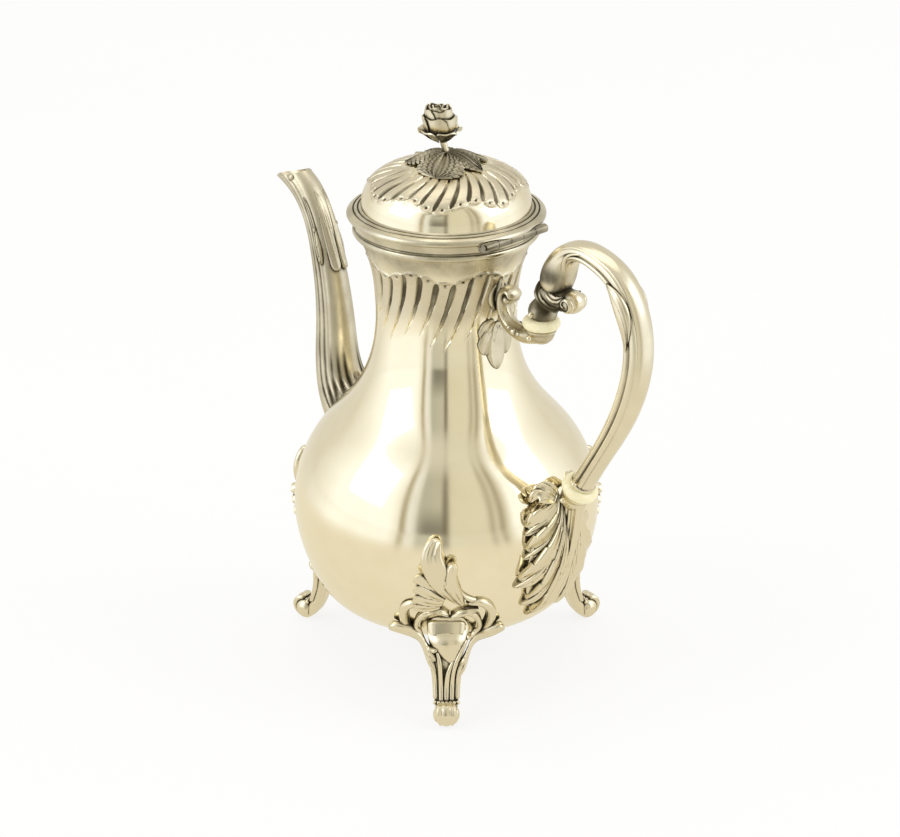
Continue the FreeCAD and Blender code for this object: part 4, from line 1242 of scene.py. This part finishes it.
# Leg ornament facing +X: paths as sideways place, height and any lift, half widths, rise and midrib
LEG_STROKES = (
    (((7.2, 54.2, 0.4), (1.8, 63.2, 3.0), (-3.6, 72.8, 5.0), (-5.9, 81.6, 5.6), (-3.6, 88.8, 4.2)),
     (1.0, 3.4, 5.0, 4.6, 2.6), 2.3, 0.6),
    (((7.4, 54.6, 0.4), (3.6, 63.8, 3.0), (1.4, 71.2, 4.4), (3.2, 78.6, 4.6)),
     (0.9, 2.4, 3.1, 2.2), 2.8, 0.6),
    (((-0.6, 59.0, 1.0), (-7.6, 67.8, 4.2), (-12.8, 72.6, 6.4)), (1.6, 2.8, 2.3), 2.1, 0.5),
    (((-0.8, 57.5, 0.8), (-7.4, 63.4, 4.2), (-12.8, 67.8, 6.6)), (1.6, 2.7, 2.3), 2.1, 0.5),
    (((-1.4, 55.6, 0.6), (-7.4, 59.4, 4.0), (-13.2, 62.8, 6.8)), (1.6, 2.6, 2.2), 2.1, 0.5),
    (((-2.4, 54.0, 0.4), (-7.8, 55.8, 3.4), (-13.2, 58.2, 6.6)), (1.6, 2.5, 2.0), 2.1, 0.5),
    (((4.4, 70.0), (4.8, 64.4), (7.6, 59.4), (13.8, 55.4)), (0.5, 1.0, 1.2, 1.4), 1.9, 0.0),
    (((8.4, 55.2), (16.1, 54.6), (19.5, 50.2), (19.2, 44.8), (16.4, 38.3), (11.4, 32.2), (6.4, 25.0),
      (5.2, 18.0), (4.9, 10.0)), SCROLL_WIDTHS, 3.0, 0.0),
    (((-9.2, 50.9), (-13.9, 54.4), (-17.3, 52.9), (-18.7, 47.9), (-17.0, 40.6), (-11.7, 33.7), (-6.4, 26.0),
      (-5.2, 18.0), (-4.9, 10.0)), SCROLL_WIDTHS, 3.0, 0.0),
    (((2.2, 47.5), (7.2, 50.6), (12.0, 48.6), (14.2, 43.7), (13.2, 38.7), (10.7, 36.8), (9.1, 39.1)),
     (0.9, 1.6, 1.7, 1.5, 1.4, 1.3, 1.0), 2.8, 0.0),
    (((1.3, 48.6), (-5.4, 50.6), (-10.7, 47.9), (-13.0, 42.1), (-11.0, 36.0), (-6.3, 32.5), (-3.5, 33.6)),
     (0.9, 1.6, 1.7, 1.5, 1.5, 1.5, 1.2), 2.8, 0.0),
    (((9.4, 37.2), (6.0, 30.6), (3.4, 24.4), (2.6, 18.0), (2.4, 10.0)), REED_WIDTHS, 2.2, 0.0),
    (((-4.4, 32.6), (-3.2, 28.0), (-2.7, 23.0), (-2.5, 18.0), (-2.4, 10.0)), REED_WIDTHS, 2.2, 0.0),
    (((3.4, 28.6), (1.2, 24.0), (0.2, 18.0), (0.0, 10.0)), (0.7, 1.2, 1.2, 1.0), 2.0, 0.0),
    (((-11.0, 48.6), (-6.6, 51.4), (-2.2, 51.0), (1.2, 48.6)), (0.6, 1.7, 1.6, 0.7), 3.0, 0.6),
    (((14.2, 51.7), (9.1, 51.0), (5.4, 49.8), (1.8, 47.9)), (0.6, 1.5, 1.5, 0.7), 3.0, 0.6),
    (((0.4, 47.6), (0.8, 41.0), (2.0, 34.0), (4.4, 26.0)), (5.6, 9.4, 6.6, 1.2), 1.6, 0.0),
    (((-4.7, 27.7, 0.4), (-11.7, 35.6, 1.0), (-18.6, 40.6, 2.4), (-24.4, 42.0, 3.4)),
     WING_WIDTHS, 2.6, 0.5),
    (((-4.6, 21.2), (-9.8, 30.2), (-16.7, 36.0), (-21.7, 36.6)), WING_EDGE_WIDTHS, 1.8, 0.0),
    (((6.0, 25.6, 0.4), (13.5, 34.1, 1.0), (19.8, 39.2, 2.4), (24.4, 42.4, 3.4)), WING_WIDTHS, 2.6, 0.5),
    (((5.2, 20.0), (11.0, 28.7), (18.0, 35.8), (23.2, 38.0)), WING_EDGE_WIDTHS, 1.8, 0.0),
)
# Face of the shaft as height and reach, and how it bends away sideways
FACE_BEND = 0.035
LEG_FACE = ((7.0, 74.4), (11.0, 71.4), (18.0, 69.2), (28.0, 67.6), (37.0, 66.2), (46.0, 64.8), (56.0, 66.6))
LEG_TURNS = (
    ("front_leg", "leg_front", -45.0), ("right_leg", "leg_right", 75.0), ("left_leg", "leg_left", -165.0),
)
# Row of beads over the foot, the foot's roll as middle, radius and half width, and the shaft's tube stations
BEAD_STEP = 1.7
BEAD_REACH = 73.4
BEAD_HEIGHT = 9.9
FOOT_CENTRE = (75.2, 5.4)
FOOT_RADIUS = 4.9
FOOT_SIDE = 5.9
LEG_SHAFT = (
    (57.6, 45.0, 4.6, 9.0), (61.6, 36.0, 4.0, 8.0), (64.4, 28.0, 3.1, 6.3), (66.2, 20.0, 2.6, 5.6),
    (67.6, 14.0, 2.5, 5.5), (69.6, 8.6, 2.4, 5.5), (71.8, 4.2, 1.9, 4.9), (75.2, 1.6, 1.4, 3.6),
    (79.0, 3.2, 1.2, 3.9), (80.2, 6.8, 1.2, 4.4), (78.2, 10.0, 1.2, 4.6), (75.0, 10.6, 1.0, 4.0),
)


def on_leg(side, height, lift):
    """Face of a leg: on the belly above and at the wings, out on the shaft below."""
    x, y, z = on_body()(side, np.maximum(height, 26.0), lift)
    levels, reaches = np.array(LEG_FACE).T
    out = np.interp(height, levels, reaches) - FACE_BEND * side ** 2 + lift
    share = (1 - smoothstep(36.0, 47.0, height)) * (1 - smoothstep(8.0, 15.0, np.abs(side)))
    return x + (out - x) * share, y + (side - y) * share, z + (height - z) * share


def rolled_foot():
    """Rolled foot: a short, rounded roll across the leg with three ribs running round it."""
    def place(across, along):
        turn = 2 * math.pi * across
        side = -np.cos(math.pi * along)
        round_off = np.clip(1 - np.abs(side) ** 3.0, 0, 1) ** 0.5
        twist = side + 0.12 * np.sin(turn)
        radius = FOOT_RADIUS * round_off * (1 - 0.12 * np.cos(2.5 * math.pi * twist) ** 8)
        reach, height = FOOT_CENTRE
        return reach + radius * np.cos(turn), FOOT_SIDE * side, height + radius * np.sin(turn)

    return weld(sheet("foot", 48, 48, place))


def leg_blank():
    """Cast leg: leaf and scrolls on the belly, reeded shaft, and a foot that curls up into a volute."""
    def reeds(turn, along):
        return 0.2 * (np.cos(3 * math.pi * np.sin(turn)) - 0.6) * smoothstep(0.3, 0.45, along)

    parts = []
    for path, widths, rise, vein in LEG_STROKES:
        wide = max(widths) > 4
        stand = max(spot[2] for spot in path) if len(path[0]) > 2 else 0.0
        reed = path[-1][1] < 13
        rises = (0.7 * rise, rise, 0.55 * rise, 0.9) if reed else (0.7 * rise, rise, rise, 0.75 * rise)
        parts.append(stroke(on_leg, path, widths, rises, vein=vein, sunk=1.4 + 0.3 * stand,
                            ribs=5 if vein else 0, rib=0.16, caps=(0.08, 0.01 if reed else 0.1),
                            rows=44 if len(path) > 4 else 30, columns=26 if wide else 18))
    parts.append(swept(LEG_SHAFT, reeds, boxy=0.62, caps=(0.05, 0.02), rows=170, columns=64))
    parts.append(rolled_foot())
    for step in range(-3, 4):
        aside = BEAD_STEP * step
        parts.append(ball((BEAD_REACH - FACE_BEND * aside ** 2, aside, BEAD_HEIGHT), (1.0, 0.95, 0.95), 16))
    blank = joined("leg", parts)
    mark_hollows(blank, 3.4, tarnish=0.1)
    return blank


def legs():
    """Three legs from one pattern, each with its own mesh; the left one is its mirror image."""
    blank = leg_blank()
    for name, node, angle in LEG_TURNS:
        leg = blank.copy()
        leg.data = blank.data.copy()
        leg.name = leg.data.name = name
        bpy.context.collection.objects.link(leg)
        pick(leg)
        leg.rotation_euler = (0, 0, math.radians(angle))
        leg.scale = (1, -1 if node == "leg_left" else 1, 1)
        settle()
        weld(leg)
        dress(leg, "pot", "cast_silver", node, hollows=None)
    bpy.data.objects.remove(blank)


# Finial: leaves as azimuth, length and half width, buds as azimuth and length, and the rose's leaning axis
FINIAL_LEAVES = (
    (-58.0, 19.4, 11.0), (12.0, 19.0, 5.8), (62.0, 19.0, 5.5), (150.0, 18.0, 6.6), (222.0, 18.5, 6.4),
)
FINIAL_BUDS = ((-22.0, 17.0), (52.0, 18.4), (188.0, 17.0))
PETAL_THICKNESS = 0.6
ROSE_FOOT = (-1.5, -1.5, 246.0)
ROSE_TOP = (-2.6, -2.6, 264.6)
# Stem: path as lean and height, radii, and the azimuth it leans to
STEM_PATH = ((0.0, 234.0), (0.0, 239.0), (0.3, 243.0), (1.2, 246.5), (2.2, 250.0))
STEM_RADII = (1.65, 1.65, 1.5, 1.45, 1.6)
STEM_AZIMUTH = math.radians(225.0)
# Rounds of petals: count, half span, radius, heights of foot and tip, flare of the edge, first turn
ROSE_ROUNDS = (
    (2, 1.5, 2.2, 9.0, 17.6, 0.3, 0.0), (3, 1.2, 4.0, 7.0, 17.6, 0.6, 0.5),
    (4, 1.0, 5.6, 4.6, 16.6, 1.2, 1.1), (5, 0.86, 6.5, 3.0, 13.4, 1.9, 0.1),
    (6, 0.55, 5.6, 1.6, 7.4, 4.9, 0.6),
)


def finial_leaves():
    """Rose leaves that drape over the crown, saw-edged and veined, with a few buds between."""
    parts = []
    for azimuth, length, width in FINIAL_LEAVES:
        surface = on_dome(math.radians(azimuth))
        path = ((0.3, 1.5, 2.2), (0.6, 0.35 * length, 1.9), (0.2, 0.75 * length, 1.0), (-0.4, length, 0.5))
        tip, cap = (0.66 * width, 0.2) if width > 9 else (0.5, 0.05)
        widths = (1.2, 0.86 * width, width, tip)
        parts.append(stroke(surface, path, widths, (1.0, 1.3, 1.1, 0.9), vein=0.8, dish=0.4, ribs=9,
                            rib=0.3, sunk=0.5, notch=0.2, notches=9, caps=(0.1, cap), rows=80, columns=96))
    for azimuth, length in FINIAL_BUDS:
        surface = on_dome(math.radians(azimuth))
        path = ((0.0, 2.0, 1.6), (1.0, 0.5 * length, 1.2), (0.2, length, 0.9))
        parts.append(stroke(surface, path, (0.7, 0.8, 1.5), (0.9, 0.9, 1.5), sunk=0.5, caps=(0.1, 0.1)))
    piece = joined("rose_leaves", parts)
    return dress(piece, "lid", "cast_silver", "finial_leaves", hollows=1.6, beside_body=False, tarnish=0.55)


def finial_stem():
    """Slightly bent stem from the nut up into the rose."""
    stem = swept(stations(STEM_PATH, STEM_RADII, STEM_RADII), caps=(0.01, 0.05), rows=40, columns=24)
    pick(stem)
    stem.rotation_euler = (0, 0, STEM_AZIMUTH)
    settle()
    stem.name = stem.data.name = "rose_stem"
    return dress(stem, "lid", "cast_silver", "finial_stem", hollows=1.5, beside_body=False)


def petal(foot, lean, azimuth, span, radius, base, top, flare):
    """One petal: a cupped, thick sheet wound round the rose's heart, one side over its neighbour."""
    def place(across, along):
        side = 2 * across - 1
        spread = 0.5 + 0.5 * np.sin(math.pi * (0.1 + 0.6 * along))
        angle = azimuth + span * side * spread
        rise = base + (top - base) * along * (1 - 0.13 * side ** 4 - 0.05 * np.cos(4 * side + 0.7))
        bowl = radius * np.sin(math.pi * (0.13 + 0.56 * along)) * (1 + 0.1 * side) + flare * along ** 4
        x = foot[0] + lean[0] * rise + bowl * np.cos(angle)
        y = foot[1] + lean[1] * rise + bowl * np.sin(angle)
        return x, y, foot[2] + rise

    piece = sheet("petal", 18, 16, place)
    thick = piece.modifiers.new("thickness", "SOLIDIFY")
    thick.thickness = PETAL_THICKNESS * MM
    thick.offset = 0
    bpy.ops.object.modifier_apply(modifier=thick.name)
    return piece


def finial_rose():
    """Half-open rose: heart, four rounds of petals and splayed sepals."""
    foot = Vector(ROSE_FOOT)
    way = Vector(ROSE_TOP) - foot
    lean = (way.x / way.z, way.y / way.z)
    heart = 9.0
    parts = [ball((foot.x + lean[0] * heart, foot.y + lean[1] * heart, foot.z + heart), (4.0, 4.0, 7.2))]
    for count, span, radius, base, top, flare, shift in ROSE_ROUNDS:
        for i in range(count):
            parts.append(petal(foot, lean, shift + 2 * math.pi * i / count, span, radius, base, top, flare))
    piece = joined("rose", parts)
    return dress(piece, "lid", "cast_silver", "finial_rose", hollows=1.5, beside_body=False, tarnish=0.34)


body_shell()
lid_dome()
mouldings()
ivory_rings()
handle()
upper_socket()
lower_socket()
spout()
legs()
finial_leaves()
finial_stem()
finial_rose()


# The light tent round the pot: degrees to the right of the camera, and colour
TENT = (
    (-180, (0.74, 0.72, 0.66)), (-128, (0.80, 0.78, 0.72)), (-92, (1.18, 1.21, 1.26)),
    (-44, (1.18, 1.21, 1.26)), (-36, (0.98, 0.97, 0.93)), (-34, (0.36, 0.31, 0.20)),
    (-31, (0.62, 0.58, 0.46)), (-29, (0.95, 0.97, 1.02)), (-23, (0.86, 0.86, 0.84)),
    (-21, (0.52, 0.52, 0.47)), (-4, (0.60, 0.59, 0.51)), (-2, (0.20, 0.18, 0.14)), (1, (0.24, 0.22, 0.17)),
    (3, (0.78, 0.75, 0.64)), (30, (0.80, 0.77, 0.66)), (34, (0.48, 0.44, 0.35)), (38, (0.74, 0.71, 0.61)),
    (42, (0.40, 0.35, 0.26)), (46, (0.74, 0.71, 0.61)), (52, (1.16, 1.19, 1.24)), (96, (1.16, 1.19, 1.24)),
    (132, (0.80, 0.78, 0.72)), (180, (0.74, 0.72, 0.66)),
)
TENT_TOP = (0.80, 0.78, 0.72, 1.0)
# Painted glow of the table near the pot, seen only in the silver: a warm tone for the table's light and the
# pot's shade
TENT_FLOOR = (0.86, 0.81, 0.68, 1.0)
TENT_DOOR = (0.14, 0.13, 0.11, 1.0)
# Soft edges of the door, as turns from the camera and rise; its darkness; rise where the walls become the
# top; and distance over which the table's painted glow near the pot gives way to the tent's
DOOR_LEFT = (-0.46, -0.26)
DOOR_RIGHT = (-0.1, 0.04)
DOOR_TOP = (0.04, 0.46)
DOOR_DARK = 0.7
TOP_RISE = (0.72, 0.95)
FLOOR_FADE = (0.22, 0.6)
WHITE = (1.0, 1.0, 1.0, 1.0)
# Table: side, shades of its cover, and share of its own glow that the camera and the silver see
TABLE_SIDE = 12
TABLE_SHADES = ((0.93, 0.93, 0.92, 1.0), (0.95, 0.95, 0.94, 1.0))
TABLE_GLOW = 0.8
# Lamps: degrees to the right of the camera and above the table, distance, width, height and power
LAMPS = (
    ("left_lamp", -66, 30, 1.6, 0.9, 0.9, 3.4), ("right_lamp", 76, 30, 1.6, 0.9, 0.9, 3.2),
    ("top_lamp", 180, 78, 1.5, 1.2, 0.9, 2.6),
)
LAMP_AIM = (0, 0, 0.12)
LAMP_COLOUR = (1.0, 0.98, 0.94)


def tent_light(tree, spot):
    """Colour of the tent in the direction of a place, and how far to the camera's side it lies."""
    def along(x, y, z):
        part = add(tree, "VectorMath", operation="DOT_PRODUCT")
        part.inputs[1].default_value = (x, y, z)
        tree.links.new(spot, part.inputs[0])
        return part.outputs["Value"]

    ahead = along(math.sin(VIEW_AZIMUTH), -math.cos(VIEW_AZIMUTH), 0.0)
    right = along(math.cos(VIEW_AZIMUTH), math.sin(VIEW_AZIMUTH), 0.0)
    turn = maths(tree, "ARCTAN2", right, ahead)
    colours = add(tree, "ValToRGB")
    stops = colours.color_ramp.elements
    while len(stops) < len(TENT):
        stops.new(0.5)
    for stop, (place, colour) in zip(stops, TENT):
        stop.position = (place + 180) / 360
        stop.color = (*colour, 1.0)
    tree.links.new(maths(tree, "ADD", maths(tree, "DIVIDE", turn, 2 * math.pi), 0.5), colours.inputs[0])
    return colours.outputs[0], turn


def lay_table():
    """Pale table that also shows the tent's light in the silver."""
    deselect()
    bpy.ops.mesh.primitive_plane_add(size=TABLE_SIDE, location=(0, 0, 0))
    floor = bpy.context.object
    floor.name = "table"
    material, tree, shader = fresh_material("table")
    shade = blended(tree, ramp(tree, noise(tree, 3.0), 0.3, 0.7), *TABLE_SHADES)
    tree.links.new(shade, shader.inputs["Base Color"])
    shader.inputs["Roughness"].default_value = 0.9
    spot = add(tree, "TexCoord").outputs["Object"]
    tent = tent_light(tree, spot)[0]
    distance = add(tree, "VectorMath", operation="LENGTH")
    tree.links.new(spot, distance.inputs[0])
    # Painted reflection: the silver sees the table glow in the tent's colours, warm near the pot
    mirrored = blended(tree, ramp(tree, distance.outputs["Value"], *FLOOR_FADE), TENT_FLOOR, tent)
    rays = add(tree, "LightPath")
    glow = add(tree, "Emission", Strength=1.0)
    tree.links.new(blended(tree, rays.outputs["Is Camera Ray"], mirrored, WHITE), glow.inputs["Color"])
    seen = maths(tree, "MAXIMUM", rays.outputs["Is Camera Ray"], rays.outputs["Is Glossy Ray"])
    lit = maths(tree, "MULTIPLY", seen, TABLE_GLOW)
    mix = add(tree, "MixShader")
    tree.links.new(lit, mix.inputs[0])
    tree.links.new(shader.outputs[0], mix.inputs[1])
    tree.links.new(glow.outputs[0], mix.inputs[2])
    tree.links.new(mix.outputs[0], tree.nodes["Material Output"].inputs["Surface"])
    floor.data.materials.append(material)


def hang_tent():
    """Light tent as the world: walls by direction, a dark door low on the camera's side and a plain top."""
    world = bpy.data.worlds.new("light_tent")
    bpy.context.scene.world = world
    world.use_nodes = True
    tree = world.node_tree
    back = tree.nodes["Background"]
    spot = add(tree, "TexCoord").outputs["Generated"]
    tent, turn = tent_light(tree, spot)
    rise = add(tree, "SeparateXYZ")
    tree.links.new(spot, rise.inputs[0])
    door = maths(tree, "MULTIPLY", ramp(tree, turn, *DOOR_LEFT), ramp(tree, turn, *DOOR_RIGHT, 1.0, 0.0))
    low = maths(tree, "MULTIPLY", door, ramp(tree, rise.outputs["Z"], *DOOR_TOP, DOOR_DARK, 0.0))
    walls = blended(tree, low, tent, TENT_DOOR)
    sky = blended(tree, ramp(tree, rise.outputs["Z"], *TOP_RISE), walls, TENT_TOP)
    tree.links.new(sky, back.inputs["Color"])
    back.inputs["Strength"].default_value = 1.0


def direction(azimuth, elevation):
    """Direction from the pot to an azimuth and an elevation; azimuth 0 is the pot's front."""
    flat = Vector((math.sin(azimuth), -math.cos(azimuth), 0)) * math.cos(elevation)
    return flat + Vector((0, 0, math.sin(elevation)))


def set_lamps():
    """Soft lamps round the pot."""
    aim = Vector(LAMP_AIM)
    for name, azimuth, elevation, distance, width, height, power in LAMPS:
        deselect()
        place = aim + direction(VIEW_AZIMUTH + math.radians(azimuth), math.radians(elevation)) * distance
        bpy.ops.object.light_add(type="AREA", location=place)
        lamp = bpy.context.object
        lamp.name = name
        lamp.rotation_euler = (aim - place).to_track_quat("-Z", "Y").to_euler()
        lamp.data.shape = "RECTANGLE"
        lamp.data.size = width
        lamp.data.size_y = height
        lamp.data.energy = power
        lamp.data.color = LAMP_COLOUR


def set_camera():
    """Camera of the photograph."""
    view = direction(VIEW_AZIMUTH, VIEW_ELEVATION)
    aside = Vector((math.cos(VIEW_AZIMUTH), math.sin(VIEW_AZIMUTH), 0)) * VIEW_ASIDE
    aim = Vector((0, 0, VIEW_HEIGHT)) + aside
    bpy.ops.object.camera_add(location=aim + view * VIEW_DISTANCE)
    camera = bpy.context.object
    camera.rotation_euler = (-view).to_track_quat("-Z", "Y").to_euler()
    camera.data.sensor_width = SENSOR_WIDTH
    camera.data.lens = LENS
    bpy.context.scene.camera = camera
    bpy.context.scene.view_settings.view_transform = "Standard"


for node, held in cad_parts.items():
    for place in held.material_slots:
        given = place.material.name.split(".")[0] if place.material else ""
        place.material = TARNISHED if node in HINGE_NODES else FINISHES.get(given, CAST)
lay_table()
hang_tent()
set_lamps()
set_camera()
